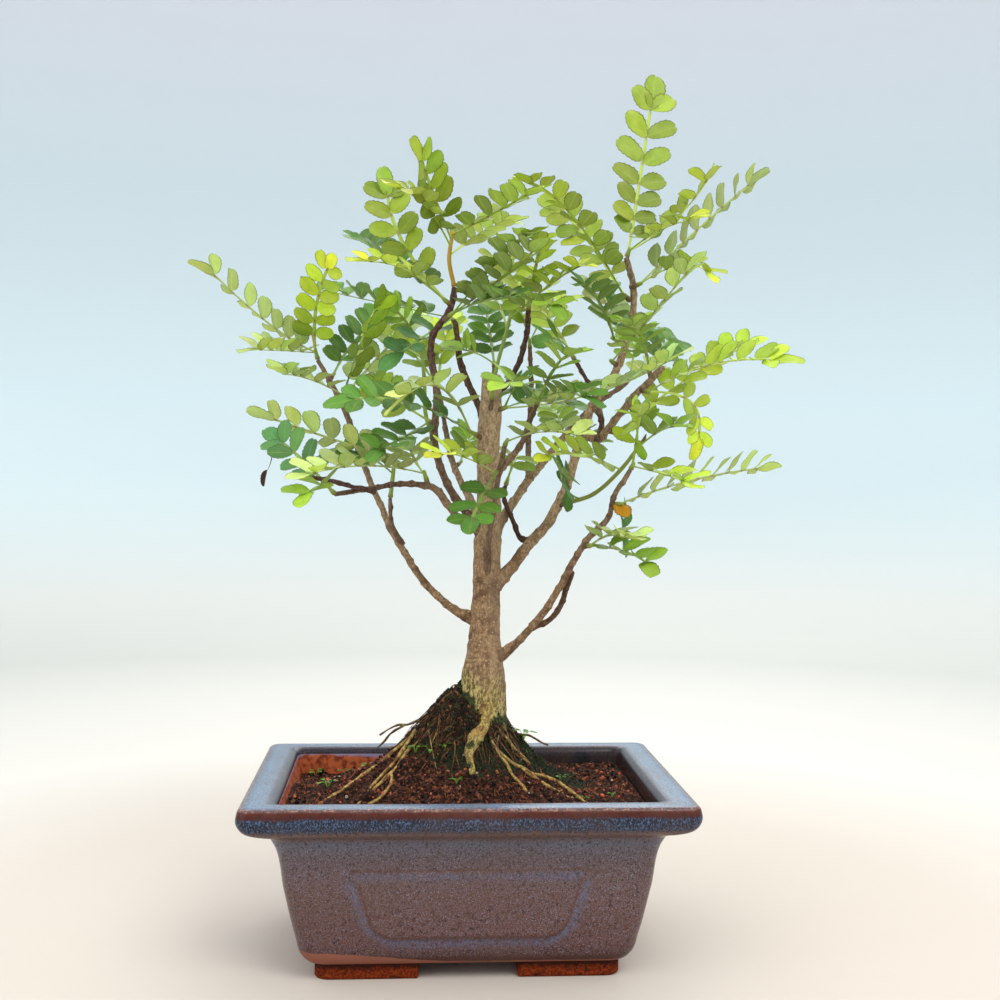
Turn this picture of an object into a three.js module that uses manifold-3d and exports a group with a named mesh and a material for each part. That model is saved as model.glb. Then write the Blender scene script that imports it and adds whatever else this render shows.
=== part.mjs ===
// A young Japanese pepper grown as a bonsai, in its glazed rectangular pot.
// Millimetres, +Z up. The pot's long side faces the viewer, who looks along +Y.
// Points below are measured from the middle of the pot's underside.
import * as THREE from "three";
import { mergeVertices } from "three/addons/utils/BufferGeometryUtils.js";
import Module from "manifold-3d";

const wasm = await Module();
wasm.setup();

// Sizes of the whole
const GAP = 0.3;
const MIDDLE_X = 6;
const MIDDLE_Y = 6;

// Pot
const POT_HEIGHT = 60;
const CORNER_STEPS = 2;
// height, half length, half depth, corner radius, up the outside
const OUTER_PROFILE = [
  [5.2, 52.5, 40.2, 6],
  [8, 55.6, 42.6, 7],
  [14, 57.4, 43.9, 7],
  [46.5, 64.8, 47.9, 7],
  [49.4, 66.8, 49.4, 7],
  [51.2, 73, 53.5, 6],
  [55.6, 75.7, 55.4, 6],
  [POT_HEIGHT, 74.4, 54.2, 5],
];
// the same down the inside
const INNER_PROFILE = [
  [POT_HEIGHT, 64.2, 45.8, 3.6],
  [58.8, 63.4, 45, 3.2],
  [20, 57, 40.6, 3.2],
  [10, 53.5, 38.6, 3.2],
];
const FLOOR_Z = 10;
const DRAIN_X = 26;
const DRAIN_RADIUS = 6;
const DRAIN_SIDES = 14;
const FOOT = { outX: 51.1, outY: 39.8, inX: 16.5, inY: 17, bar: 9, corner: 5, top: 6.4 };
const PANEL = { half: 38.4, low: 31, top: 37.6, bottom: 15, corner: 6, turn: 1.6, lowY: 45.3, lean: 0.05 };
const OUTSIDE_WALL_Y = 60;
const WITHIN_WALL_Y = 43;

// Drainage mesh over each hole
const MESH = { side: 20, thick: 0.8, window: 7, bar: 2 };

// Soil: its height at the rim, the heights added by mounds, and the clearance round the wood
const SOIL_BASE = 53.5;
const MOUNDS = [
  { x: -4, y: 0, rise: 16, spread: 34, squeeze: 1.2 },
  { x: 1, y: 1, rise: 21, spread: 20.7, squeeze: 1.5 },
  { x: -50, y: 36, rise: -4, spread: 20, squeeze: 1 },
];
const LUMPS = { coarse: 0.7, fine: 0.4 };
const SOIL_EDGE_Z = 54;
const SOIL_WALL_Z = [20, 46];
const SOIL_RINGS = [0.16, 0.36, 0.64, 1];
const SOIL_SIDE_X = 4;
const SOIL_SIDE_Y = 3;
const SOIL_CLEARANCE = GAP + 0.1;

// Leafy shoots
const STEM_RADIUS = 0.8;
const STEM_TAPER = 0.85;
const SPUR_RADIUS = 1;
const SPUR_TAPER = 0.9;
const AT_TIP = 0.4;
const BUD = 2.2;
const SUNK = 0.9;
const BLADE = 0.76;
const JOINT = 1.2;
const TIP_LEAFLET_START = 8.6;
const RIB_HALF = 0.85;
const PETIOLE = 8;
const LEAFLET = { length: 9.4, half: 3.6, tip: 9.6, lean: 66 };
// Corners of a leaflet as parts of its length and of its half width, and of the one at the tip
const LEAFLET_CORNERS = [[0.58, -1], [1, 0], [0.62, 1]];
const TIP_CORNERS = [[0.5, 1], [0.95, 0.55], [0.95, -0.55], [0.5, -1]];
// How far leaflets rise out of their frond's plane, in degrees, and how much more on a level frond
const LIFT = 5;
const LIFT_WHEN_LEVEL = 24;

// Trunk, limbs and twigs, from the root end: x, y, z, radius
const LIMBS = {
  trunk: [
    [6, 0, 50, 13.5], [6, 0, 61, 12.6], [6.1, 0, 70, 11], [6, 0, 79.5, 9.7], [6, 0, 86, 8.9],
    [6.2, 0, 93.5, 8.1], [6.5, 0, 102.5, 6.5], [7.3, 0, 137, 4.9],
    [7.6, 1, 156, 4.3], [7.4, 1, 176.5, 4.2], [8.7, 3, 203.5, 3.4],
  ],
  leftLow: [
    [5, 0, 114.5, 1.8], [-4, 3, 118.5, 1.35], [-13, 8, 126, 1.3], [-29, 18, 150, 1.2],
    [-36, 22, 165.5, 1.1], [-47.5, 26, 196, 0.95], [-56, 29, 210.5, 0.8],
  ],
  leftLowTwig: [
    [-23.5, 15, 141.5, 0.9], [-27.5, 12, 150.5, 0.8], [-28, 10, 158.5, 0.75],
  ],
  leftArm: [
    [5.5, 0, 147.5, 1.7], [0, -3, 149.5, 1.4], [-14, -12, 163.5, 1.2], [-16.5, -14, 164, 1.1],
    [-46, -29, 160.5, 0.75],
  ],
  leftArmStub: [
    [-33, -23, 161.5, 0.8], [-53, -37, 166, 0.65],
  ],
  leftTall: [
    [5.5, 0, 146, 1.7], [-9, -5, 167.5, 1.35], [-12, -8, 177.5, 1.35], [-11.5, -11, 194, 1.3],
    [-13, -13, 217.5, 1.1], [-7, -14, 226, 1.1], [-6, -15, 232.5, 1],
  ],
  darkTwig: [
    [6.5, 1, 180.5, 1.5], [5, 8, 191, 1.25], [-1.5, 14, 206, 1.2], [-4.5, 20, 225, 1],
  ],
  topTwig: [
    [8, 2, 190.5, 1.4], [11.5, 6, 197, 1.1], [16, 7, 203.5, 1], [21, 4, 219, 0.95],
    [21.5, 2, 227.5, 0.85],
  ],
  frontTwig: [
    [6.9, -2.5, 130, 1.1], [7.6, -7.4, 144, 0.95], [12, -14, 177.5, 0.9],
  ],
  hookTwig: [
    [25, 2, 145, 1], [21, 5, 144, 0.95], [17, 9, 151.5, 0.85], [14, 11, 160.5, 0.8],
    [14.5, 12, 163.5, 0.75],
  ],
  rightMain: [
    [6.5, 0, 126, 2.4], [13.5, -1, 131.5, 2.1], [21, 0, 140.5, 1.95], [31.5, 3, 153.5, 1.8],
    [37, 5, 166, 1.7], [45, 5, 192, 1.5], [53, 2, 205.5, 1.35], [57, -1, 216, 1.3],
    [58, -6, 238, 1.1], [55.5, -8, 245.5, 0.95],
  ],
  rightKnee: [
    [46.5, 5, 194, 1.4], [49, 2, 188, 1], [46, -4, 180.5, 1.1],
  ],
  rightFork: [
    [42.5, 6, 184.5, 1.4], [47, 0, 181, 1.35], [50, -5, 184.5, 1.3], [59, -12, 197, 1.25],
    [67.5, -16, 206, 1.15],
  ],
  rightLow: [
    [8, 0, 100, 2], [14, -3, 104, 1.5], [27.5, -11, 120, 1.3], [40.5, -19, 144.5, 1.1],
    [48, -22, 153.5, 1], [49, -24, 159, 0.95], [54.5, -27, 169.5, 0.8],
  ],
  rightLowTwin: [
    [22.5, -8, 113.5, 1.1], [28, -6, 115, 1], [33, -7, 120.5, 1], [35, -10, 127.5, 0.95],
    [36.5, -15, 133.5, 0.9],
  ],
  innerTwig: [
    [48, 4, 196, 1.1], [45.5, 9, 200.5, 0.85], [40.5, 15, 211, 0.75],
  ],
  backLeft: [
    [6.5, 2, 137, 2], [2, 20, 158.5, 1.4], [-3.5, 28, 169.5, 1.2], [-9.5, 39, 199, 0.8],
  ],
  backRight: [
    [8, 2, 144, 2.2], [14.5, 12, 153, 1.7], [24.5, 23, 166, 1.5], [37, 32, 181.5, 1.25],
    [49.5, 39, 194, 1.1], [64, 44, 204.5, 0.9],
  ],
  backMiddle: [
    [24.5, 23, 166, 1.2], [24.5, 30, 181.5, 1], [26, 35, 199, 0.9], [25.5, 38, 217, 0.75],
  ],
  frontUpper: [
    [7, 0, 166, 1.6], [11, -9, 169.5, 1.3], [16.5, -16, 176.5, 1.1], [22, -26, 191.5, 0.75],
  ],
};
const TRUNK_SIDES = 10;
const LIMB_SIDES = 6;
const TWIG_SIDES = 5;
const TWIG_BELOW = 1.55;
const THIN_SIDES = 4;
const SMOOTH = 0.14;
// A direction that no limb follows, from which the sides of every limb are turned
const FIRST_SIDE = [0.31, 0.87, 0.38];

// Roots on the soil: x, y, height of the middle over the soil, radius
const ROOTS = [
  [
    [2, -2, 0, 2.8], [-8, -4, -3.2, 1.7], [-21, -4, 0.2, 1.2], [-34, -6, 0.8, 1], [-44, -15, 0.4, 0.8],
    [-53, -27, -1, 0.6],
  ],
  [
    [2, -3, -3, 2.2], [-7, -6, -3, 1.4], [-20, -10, 0, 1.1], [-30, -19, 0.5, 0.95], [-39, -31, -1, 0.6],
  ],
  [
    [4, 2, -1, 2], [-9, 2, -1, 1.1], [-15, 2, 0.4, 0.9], [-20.6, 2, 4.1, 0.8], [-25.6, 2, 8.3, 0.7],
    [-30.5, 2, 9.1, 0.55],
  ],
  [
    [7, -4, 5, 3], [6.5, -9, 1.2, 2.4], [5.5, -12.5, 1.4, 2.1], [3, -15.5, 1.4, 2.8], [1.5, -20, 0.5, 1.5],
    [3, -25, -0.8, 1.1],
  ],
  [[8, -3, -2, 2.2], [11.5, -10, 0.6, 1.3], [17.5, -10.5, 0.6, 1.05], [23, -11.5, -0.6, 0.8]],
  [[6, -10, -3.4, 1.8], [13, -16.5, 0.5, 1], [22, -17, 0.5, 0.95], [36, -21, -1, 0.7]],
  [[21, -17, 0.4, 0.9], [27, -14.5, 0.6, 0.9], [32, -13, 0.6, 1], [37, -20, 0.6, 1], [43, -32, -0.8, 0.7]],
  [
    [6, 2, -1, 1.6], [17, 3, -1.4, 0.9], [20.5, 3, 1.4, 0.8], [24, 3, 5, 0.7], [30.5, 3, 7.4, 0.55],
  ],
  [[4, 2, 2, 2.4], [-1, 12, 0.8, 1.7], [-9, 21, 0.6, 1.2], [-18, 31, -1, 0.7]],
  [[8, 2, 2, 2.4], [15, 11, 0.7, 1.6], [25, 18, 0.5, 1.1], [35, 26, -1, 0.6]],
];

// Leafy shoots. The first stem point is on the bearing limb's axis, and a woody spur reaches
// `reach` mm from there along the stem, or none at a limb's own tip. Each frond: place along the
// green stem from 0 to 1, a point halfway, its tip, leaflet pairs grown, the way its upper side
// faces, and its tone.
const SHOOTS = {
  crown_right: {
    stem: [[55.5, -8, 245.5], [56.5, -9, 249]],
    reach: 0.3,
    fronds: [
      [0.5, [62, 1, 279], [69, 10, 319], 7, [0.25, -1, 0.15], "lime"],
      [1, [74, -16, 261], [80, -44, 274], 5, [-0.5, -1, 0.5], "young"],
      [1, [66, -29, 253], [75, -49, 252], 4, [-0.1, -0.6, 1], "young"],
    ],
  },
  right_shoulder: {
    stem: [[57.5, -5.5, 235.5], [60.5, -8.5, 236.5]],
    reach: 2.4,
    fronds: [
      [1, [85, 0, 260], [110, 8, 282], 6, [-0.5, 0.6, 0.8], "pale"],
      [1, [76, -19, 242], [82, -39, 230], 3, [0.3, -0.4, 1], "young"],
    ],
  },
  crown_inner: {
    stem: [[57.5, -5, 231], [54, -8, 233]],
    reach: 2.5,
    fronds: [
      [1, [44, 13, 256], [30, 24, 274], 6, [-0.3, -1, 0.5], "lime"],
      [0.6, [32, -24, 259], [13, -41, 265], 6, [-0.5, -0.4, 1], "young"],
    ],
  },
  right_side: {
    stem: [[54, 1, 208], [51, -3, 209.5]],
    reach: 2.6,
    fronds: [
      [1, [62, -29, 224], [75, -45, 242], 5, [-0.6, 0.6, 0.7], "pale"],
    ],
  },
  right_back: {
    stem: [[56.5, -0.5, 215], [52.5, 4.5, 218.5]],
    reach: 2.6,
    fronds: [
      [1, [51, 20, 237], [49, 46, 245], 4, [0, -0.8, 0.6], "pale"],
      [0.5, [58, 26, 230], [61, 40, 235], 3, [0.5, -0.6, 0.7], "dark"],
      [0.8, [44, -18, 229], [34, -39, 233], 4, [0, -0.2, 1], "dark"],
    ],
  },
  centre_crown: {
    stem: [[21.5, 2, 227.5], [21.5, 0, 231]],
    reach: 0.3,
    fronds: [
      [1, [30, -21, 236], [39, -42, 239], 4, [0, -0.3, 1], "young"],
      [0.9, [22, -21, 241], [22, -42, 247], 5, [0, -0.8, 0.9], "young"],
      [0.5, [15, 17, 243], [9, 43, 252], 4, [0, -0.2, 1], "lime"],
    ],
  },
  centre_twig: {
    stem: [[40.5, 15, 211], [38.5, 16, 214]],
    reach: 0.3,
    fronds: [
      [1, [33, 30, 227], [26, 45, 237], 4, [0, -0.9, 0.6], "lime"],
      [0.5, [32, 6, 218], [24, -2, 213], 2, [0, -1, 0.5], "dark"],
    ],
  },
  left_crown: {
    stem: [[-6, -15, 232.5], [-8, -17, 241.5], [-7, -18, 251.5]],
    reach: 0.3,
    fronds: [
      [1, [9, -38, 256], [19, -58, 259], 5, [0.3, -0.5, 1], "lime"],
      [0.9, [-15, -39, 262], [-19, -60, 270], 4, [0, -1, 0.3], "lime"],
      [0.75, [-18, -39, 257], [-30, -60, 258], 4, [-0.2, -0.9, 0.8], "young"],
      [0.6, [6, 3, 256], [19, 23, 264], 4, [0.2, -0.4, 1], "lime"],
    ],
  },
  left_upper: {
    stem: [[-7, -14, 226.5], [-10, -18, 228.5]],
    reach: 2.4,
    fronds: [
      [1, [-26, -19, 251], [-29, -19, 271], 5, [0.1, -1, 0.2], "lime"],
      [0.8, [-29, -2, 245], [-44, 14, 255], 4, [0, -0.25, 1], "dark"],
      [1, [-25, -36, 236], [-41, -54, 234], 4, [0, -0.5, 1], "young"],
    ],
  },
  left_inner: {
    stem: [[-9.5, -14, 221.5], [-6, -18, 224]],
    reach: 2.4,
    fronds: [
      [1, [8, -39, 239], [18, -60, 245], 4, [0.2, -0.6, 0.9], "olive"],
      [0.8, [10, -38, 234], [21, -59, 242], 5, [0.2, -0.2, 1], "olive"],
      [0.5, [5, -36, 226], [13, -56, 223], 4, [0, -0.1, 1], "dark"],
    ],
  },
  left_deep: {
    stem: [[-4.5, 20, 225], [-6.5, 22, 227.5]],
    reach: 0.3,
    fronds: [
      [1, [-37, 30, 234], [-64, 49, 242], 6, [0, -0.15, 1], "dark"],
      [0.6, [-19, -2, 215], [-27, -8, 208], 3, [-0.1, -0.7, 0.8], "teal"],
    ],
  },
  left_tip: {
    stem: [[-56, 29, 210.5], [-57, 28, 214.5]],
    reach: 0.3,
    fronds: [
      [1, [-55, 7, 230], [-47, -14, 245], 5, [0, -1, 0.2], "young"],
      [1, [-77, 26, 226], [-104, 25, 251], 6, [0.3, 0.5, 0.9], "pale"],
      [0.9, [-68, 7, 212], [-78, -14, 210], 4, [0, -0.2, 1], "pale"],
    ],
  },
  left_flank: {
    stem: [[-47, 26, 194.5], [-45.5, 23, 197.5]],
    reach: 2.3,
    fronds: [
      [1, [-59, 3, 202], [-69, -17, 201], 4, [0, -0.2, 1], "pale"],
      [1, [-39, 3, 215], [-30, -17, 231], 4, [0.4, -0.8, 0.6], "olive"],
      [0.7, [-31, 33, 215], [-15, 53, 234], 5, [0.3, -0.4, 1], "pale"],
    ],
  },
  left_flank_back: {
    stem: [[-52, 28, 202.5], [-50, 32, 206]],
    reach: 2.2,
    fronds: [
      [1, [-41, 51, 223], [-25, 70, 240], 5, [0.2, -0.3, 1], "dark"],
    ],
  },
  left_low: {
    stem: [[-28, 10, 158.5], [-27, 8, 167.5], [-26.5, 7, 174]],
    reach: 0.3,
    fronds: [
      [1, [-52, 4, 181], [-79, 2, 190], 5, [0, 0.6, 0.8], "pale"],
      [0.6, [-39, 10, 175], [-51, 32, 175], 3, [-0.2, -0.5, 0.9], "dark"],
    ],
  },
  left_arm: {
    stem: [[-46, -29, 160.5], [-47.5, -31, 162]],
    reach: 0.3,
    fronds: [
      [1, [-59, -18, 173], [-71, -6, 182], 3, [-0.2, -0.8, 0.6], "teal"],
      [0.5, [-51, -46, 163], [-55, -61, 157], 2, [-0.3, -0.6, 0.8], "green"],
    ],
  },
  left_arm_mid: {
    stem: [[-14.5, -12.5, 163.5], [-16, -17, 168.5]],
    reach: 2.5,
    fronds: [
      [1, [-38, -37, 170], [-58, -58, 165], 6, [0, -0.3, 1], "pale"],
      [0.7, [-20, -16, 174], [-22, 3, 183], 3, [-0.1, -0.7, 0.7], "pale"],
    ],
  },
  left_back: {
    stem: [[-12, -9, 184], [-14.5, -5, 187]],
    reach: 2.6,
    fronds: [
      [1, [-25, -26, 179], [-34, -47, 174], 4, [-0.1, -0.5, 0.9], "dark"],
      [0.8, [-29, 0, 196], [-39, 16, 204], 4, [-0.3, -0.8, 0.6], "olive"],
    ],
  },
  left_tall: {
    stem: [[-12, -8, 178.5], [-15, -2, 187], [-16, 5, 202], [-17, 13, 214]],
    reach: 2.6,
    fronds: [
      [1, [-24, 10, 225], [-33, 4, 231], 3, [0, -0.9, 0.5], "green"],
      [0.9, [-27, 24, 218], [-37, 36, 222], 3, [0, -0.6, 0.8], "lime"],
    ],
  },
  trunk_left: {
    stem: [[7, 1, 180], [-0.5, -6, 183.5]],
    reach: 5.8,
    fronds: [
      [1, [-24, -32, 192], [-46, -38, 190], 5, [-0.1, -0.75, 0.7], "dark"],
      [0.9, [-13, -36, 197], [-28, -47, 186], 3, [0, 0.2, 1], "pale"],
    ],
  },
  trunk_front: {
    stem: [[10.5, -13, 169.5], [8.5, -17, 168]],
    reach: 2.2,
    fronds: [
      [1, [-5, -34, 174], [-15, -51, 173], 3, [0, -0.6, 0.9], "young"],
      [0.6, [2, -31, 157], [-2, -45, 149], 2, [-0.3, -1, 0.4], "dark"],
    ],
  },
  twig_tip: {
    stem: [[12, -14, 177.5], [13, -16, 180]],
    reach: 0.3,
    fronds: [
      [1, [24, -42, 182], [35, -58, 179], 4, [0.1, -0.5, 0.9], "pale"],
    ],
  },
  top_right: {
    stem: [[8, 2, 190.5], [13.5, -3, 192]],
    reach: 5.3,
    fronds: [
      [1, [45, -24, 197], [70, -45, 210], 7, [0, -0.4, 1], "pale"],
      [0.8, [30, 19, 196], [47, 31, 192], 4, [0.1, -0.5, 0.9], "dark"],
      [0.7, [16, -16, 199], [20, -30, 201], 3, [0.1, -0.9, 0.5], "dark"],
    ],
  },
  top_cut: {
    stem: [[9.5, 3, 203.5], [9.5, 6, 207.5]],
    reach: 4.8,
    fronds: [
      [1, [9, 26, 222], [8, 46, 237], 4, [0, -1, 0.4], "dark"],
      [0.5, [0, 6, 213], [-10, 18, 214], 3, [-0.2, -0.6, 0.8], "green"],
    ],
  },
  green_rod: {
    stem: [[7.5, 1.5, 186], [8.5, -6.5, 200], [14, -8.5, 223.5]],
    reach: 10,
    fronds: [
      [1, [22, -27, 227], [28, -45, 219], 3, [0.1, -0.5, 0.9], "green"],
      [0.9, [9, 19, 235], [1, 26, 238], 3, [0, -0.5, 0.9], "green"],
    ],
  },
  green_arm: {
    stem: [[33, 3.5, 156.5], [45, -8.5, 161.5], [53.5, -13.5, 170], [61, -16.5, 180.5]],
    reach: 3.1,
    fronds: [
      [0.68, [35, -28, 175], [19, -54, 172], 4, [0, -0.7, 0.8], "young"],
      [0.93, [57, -25, 187], [55, -35, 192], 2, [0, -0.9, 0.5], "lime"],
      [0.93, [66, -29, 184], [70, -43, 183], 2, [0.1, -0.2, 1], "green"],
      [0.15, [32, -20, 165], [31, -40, 172], 3, [0, -1, 0.4], "dark"],
    ],
  },
  right_reach: {
    stem: [[49.5, -4.5, 184], [54, -6, 183]],
    reach: 2.6,
    fronds: [
      [1, [82, 1, 205], [108, 1, 219], 7, [0.1, -0.5, 1], "lime"],
    ],
  },
  right_wing: {
    stem: [[60, -12.5, 198.5], [62, -15.5, 197.5]],
    reach: 2.5,
    fronds: [
      [0.8, [83, -40, 206], [103, -56, 204], 6, [0, -0.7, 0.9], "lime"],
      [0.9, [82, -8, 191], [76, -9, 167], 4, [0.4, -0.9, 0.3], "young"],
    ],
  },
  right_wing_top: {
    stem: [[64, -14, 202], [63.5, -12, 205]],
    reach: 2.5,
    fronds: [
      [1, [73, 9, 217], [83, 30, 220], 3, [0.2, -0.8, 0.6], "dark"],
      [0.7, [55, -39, 215], [46, -55, 216], 4, [-0.3, -0.5, 0.9], "green"],
    ],
  },
  low_right: {
    stem: [[48.5, -23.5, 157.5], [51, -26.5, 158]],
    reach: 2.3,
    fronds: [
      [1, [82, -9, 167], [116, 8, 172], 7, [0, 0.6, 0.8], "pale"],
      [0.5, [55, -11, 150], [58, 3, 143], 2, [0.3, -0.9, 0.4], "dark"],
    ],
  },
  low_right_hang: {
    stem: [[40, -19, 143], [42, -23, 143.5]],
    reach: 2.4,
    fronds: [
      [1, [52, -42, 142], [57, -62, 137], 4, [0.1, -0.6, 0.9], "green"],
      [0.8, [47, -42, 148], [52, -62, 145], 4, [0.2, -0.3, 1], "pale"],
    ],
  },
  low_right_tip: {
    stem: [[54.5, -27, 169.5], [55.5, -28, 172]],
    reach: 0.3,
    fronds: [
      [1, [54, -45, 184], [51, -62, 188], 3, [-0.2, -0.9, 0.5], "lime"],
      [0.8, [64, -44, 168], [71, -61, 164], 3, [0.2, -0.5, 0.9], "lime"],
    ],
  },
  inner_twig: {
    stem: [[14.5, 12, 163.5], [15.5, 13, 166.5]],
    reach: 0.3,
    fronds: [
      [1, [18, 16, 173], [21, 39, 175], 2, [0, -1, 0.3], "olive"],
    ],
  },
  back_left_spray: {
    stem: [[-9.5, 39, 199], [-11, 42, 203]],
    reach: 0.3,
    fronds: [
      [1, [-22, 60, 219], [-34, 68, 227], 5, [-0.4, 0.3, 1], "green"],
      [0.9, [-7, 57, 222], [-3, 72, 232], 5, [0.1, 0.5, 1], "lime"],
    ],
  },
  back_left_low: {
    stem: [[-4, 28.5, 170.5], [-1, 33.5, 173]],
    reach: 2.5,
    fronds: [
      [1, [3, 53, 182], [7, 73, 183], 5, [0.5, 0.5, 0.9], "green"],
    ],
  },
  back_right_spray: {
    stem: [[64, 44, 204.5], [67, 46, 207.5]],
    reach: 0.3,
    fronds: [
      [1, [75, 58, 211], [85, 71, 216], 4, [0.4, 0.4, 1], "pale"],
      [0.9, [71, 59, 224], [75, 73, 234], 5, [0.1, 0.5, 1], "green"],
    ],
  },
  back_right_mid: {
    stem: [[37, 32, 181.5], [40, 38, 182]],
    reach: 2.6,
    fronds: [
      [1, [50, 50, 184], [59, 74, 177], 5, [0.4, 0.5, 0.9], "dark"],
      [0.8, [38, 54, 193], [35, 73, 196], 5, [-0.2, 0.5, 0.9], "green"],
    ],
  },
  back_top: {
    stem: [[25.5, 38, 217], [25.5, 40, 221]],
    reach: 0.3,
    fronds: [
      [1, [36, 52, 236], [48, 74, 242], 5, [0.4, 0.4, 1], "lime"],
      [0.9, [21, 52, 237], [16, 74, 245], 5, [-0.2, 0.5, 1], "green"],
    ],
  },
  front_spray: {
    stem: [[22, -26, 191.5], [23, -28, 194]],
    reach: 0.3,
    fronds: [
      [1, [27, -45, 204], [31, -62, 206], 4, [0.2, -0.6, 0.9], "green"],
      [0.8, [14, -43, 198], [4, -58, 193], 4, [-0.2, -0.8, 0.7], "green"],
      [0.7, [31, -44, 195], [39, -60, 189], 4, [0.3, -0.5, 0.9], "dark"],
    ],
  },
};

const COLOURS = { pot: 0x4b5266, mesh: 0x202522, soil: 0x3a221a, wood: 0x8a7a63 };
const TONES = {
  young: 0xbcd63f,
  lime: 0x94bf3d,
  green: 0x4f8c2f,
  olive: 0x6b8a33,
  dark: 0x2d6428,
  teal: 0x3d7a52,
  pale: 0x9dbb6c,
};

// Ways to make a solid

function solidFrom(geometry) {
  const bare = geometry.clone();
  bare.deleteAttribute("normal");
  bare.deleteAttribute("uv");
  const merged = mergeVertices(bare, 1e-4);
  const mesh = new wasm.Mesh({
    numProp: 3,
    vertProperties: new Float32Array(merged.attributes.position.array),
    triVerts: new Uint32Array(merged.index.array),
  });
  return new wasm.Manifold(mesh);
}

function geometryFrom(solid) {
  const mesh = solid.simplify(SMOOTH).getMesh();
  const geometry = new THREE.BufferGeometry();
  const positions = new Float32Array(mesh.vertProperties);
  geometry.setAttribute("position", new THREE.BufferAttribute(positions, 3));
  geometry.setIndex(new THREE.BufferAttribute(new Uint32Array(mesh.triVerts), 1));
  geometry.computeVertexNormals();
  return geometry;
}

function indexed(points, faces) {
  const geometry = new THREE.BufferGeometry();
  const flat = points.flatMap((p) => (p.isVector3 ? [p.x, p.y, p.z] : p));
  geometry.setAttribute("position", new THREE.Float32BufferAttribute(flat, 3));
  geometry.setIndex(faces.flat());
  return geometry;
}

function unite(solids) {
  return solids.reduce((whole, next) => whole.add(next));
}

// Rings of the same number of points, joined side by side and closed at both ends.
// Each ring runs anticlockwise seen from the last ring's side.
function loftGeometry(rings) {
  const n = rings[0].length;
  const faces = [];
  for (let i = 0; i + 1 < rings.length; i++) {
    for (let j = 0; j < n; j++) {
      const a = i * n + j;
      const b = i * n + ((j + 1) % n);
      faces.push([a, b, b + n], [a, b + n, a + n]);
    }
  }
  const last = (rings.length - 1) * n;
  for (let j = 1; j + 1 < n; j++) {
    faces.push([0, j + 1, j], [last, last + j, last + j + 1]);
  }
  return indexed(rings.flat(), faces);
}

// A tapering round branch through points of x, y, z, radius.
function limbSolid(path, sides, grow = 0) {
  const points = path.map((p) => new THREE.Vector3(p[0], p[1], p[2]));
  const last = points.length - 1;
  const along = points.map((p, i) => {
    const [before, after] = [points[Math.max(i - 1, 0)], points[Math.min(i + 1, last)]];
    return new THREE.Vector3().subVectors(after, before).normalize();
  });
  if (grow > 0) {
    points[0].addScaledVector(along[0], -grow);
    points[last].addScaledVector(along[last], grow);
  }
  const side = new THREE.Vector3(...FIRST_SIDE);
  const rings = points.map((p, i) => {
    side.addScaledVector(along[i], -side.dot(along[i])).normalize();
    const other = new THREE.Vector3().crossVectors(along[i], side);
    const radius = path[i][3] + grow;
    const ring = [];
    for (let k = 0; k < sides; k++) {
      const angle = (2 * Math.PI * k) / sides;
      const x = radius * Math.cos(angle);
      const y = radius * Math.sin(angle);
      ring.push(p.clone().addScaledVector(side, x).addScaledVector(other, y));
    }
    return ring;
  });
  return solidFrom(loftGeometry(rings));
}

function sidesFor(path) {
  return path[0][3] < TWIG_BELOW ? TWIG_SIDES : LIMB_SIDES;
}

// A rounded rectangle at one height, with further points along its sides if asked for.
function rectangleRing(z, halfX, halfY, radius, alongX = 1, alongY = 1) {
  const ring = [];
  const straightX = 2 * (halfX - radius);
  const straightY = 2 * (halfY - radius);
  for (let corner = 0; corner < 4; corner++) {
    const right = corner === 0 || corner === 3 ? 1 : -1;
    const back = corner < 2 ? 1 : -1;
    for (let k = 0; k <= CORNER_STEPS; k++) {
      const angle = (Math.PI / 2) * (corner + k / CORNER_STEPS);
      const x = right * (halfX - radius) + radius * Math.cos(angle);
      const y = back * (halfY - radius) + radius * Math.sin(angle);
      ring.push([x, y, z]);
    }
    const [x, y] = ring[ring.length - 1];
    const level = corner % 2 === 0;
    const count = level ? alongX : alongY;
    for (let k = 1; k < count; k++) {
      const dx = level ? (-back * straightX * k) / count : 0;
      const dy = level ? 0 : (right * straightY * k) / count;
      ring.push([x + dx, y + dy, z]);
    }
  }
  return ring;
}

// Pot

function extruded(shape, depth, z) {
  const geometry = new THREE.ExtrudeGeometry(shape, { depth, bevelEnabled: false, curveSegments: 3 });
  return geometry.translate(0, 0, z);
}

// One foot is a bar bent round a corner of the pot.
function footSolid(right, back) {
  const f = FOOT;
  const shape = new THREE.Shape();
  shape.moveTo(f.inX, f.outY);
  shape.lineTo(f.inX, f.outY - f.bar);
  shape.lineTo(f.outX - f.bar, f.outY - f.bar);
  shape.lineTo(f.outX - f.bar, f.inY);
  shape.lineTo(f.outX, f.inY);
  shape.lineTo(f.outX, f.outY - f.corner);
  shape.quadraticCurveTo(f.outX, f.outY, f.outX - f.corner, f.outY);
  const corners = shape.getPoints(3).map((p) => new THREE.Vector2(p.x * right, p.y * back));
  return solidFrom(extruded(new THREE.Shape(corners), f.top, 0));
}

function panelShape() {
  const p = PANEL;
  const shape = new THREE.Shape();
  shape.moveTo(-p.half, p.top);
  shape.lineTo(-p.low - p.turn, p.bottom + p.corner);
  shape.quadraticCurveTo(-p.low, p.bottom, -p.low + p.corner, p.bottom);
  shape.lineTo(p.low - p.corner, p.bottom);
  shape.quadraticCurveTo(p.low, p.bottom, p.low + p.turn, p.bottom + p.corner);
  shape.lineTo(p.half, p.top);
  return shape;
}

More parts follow.
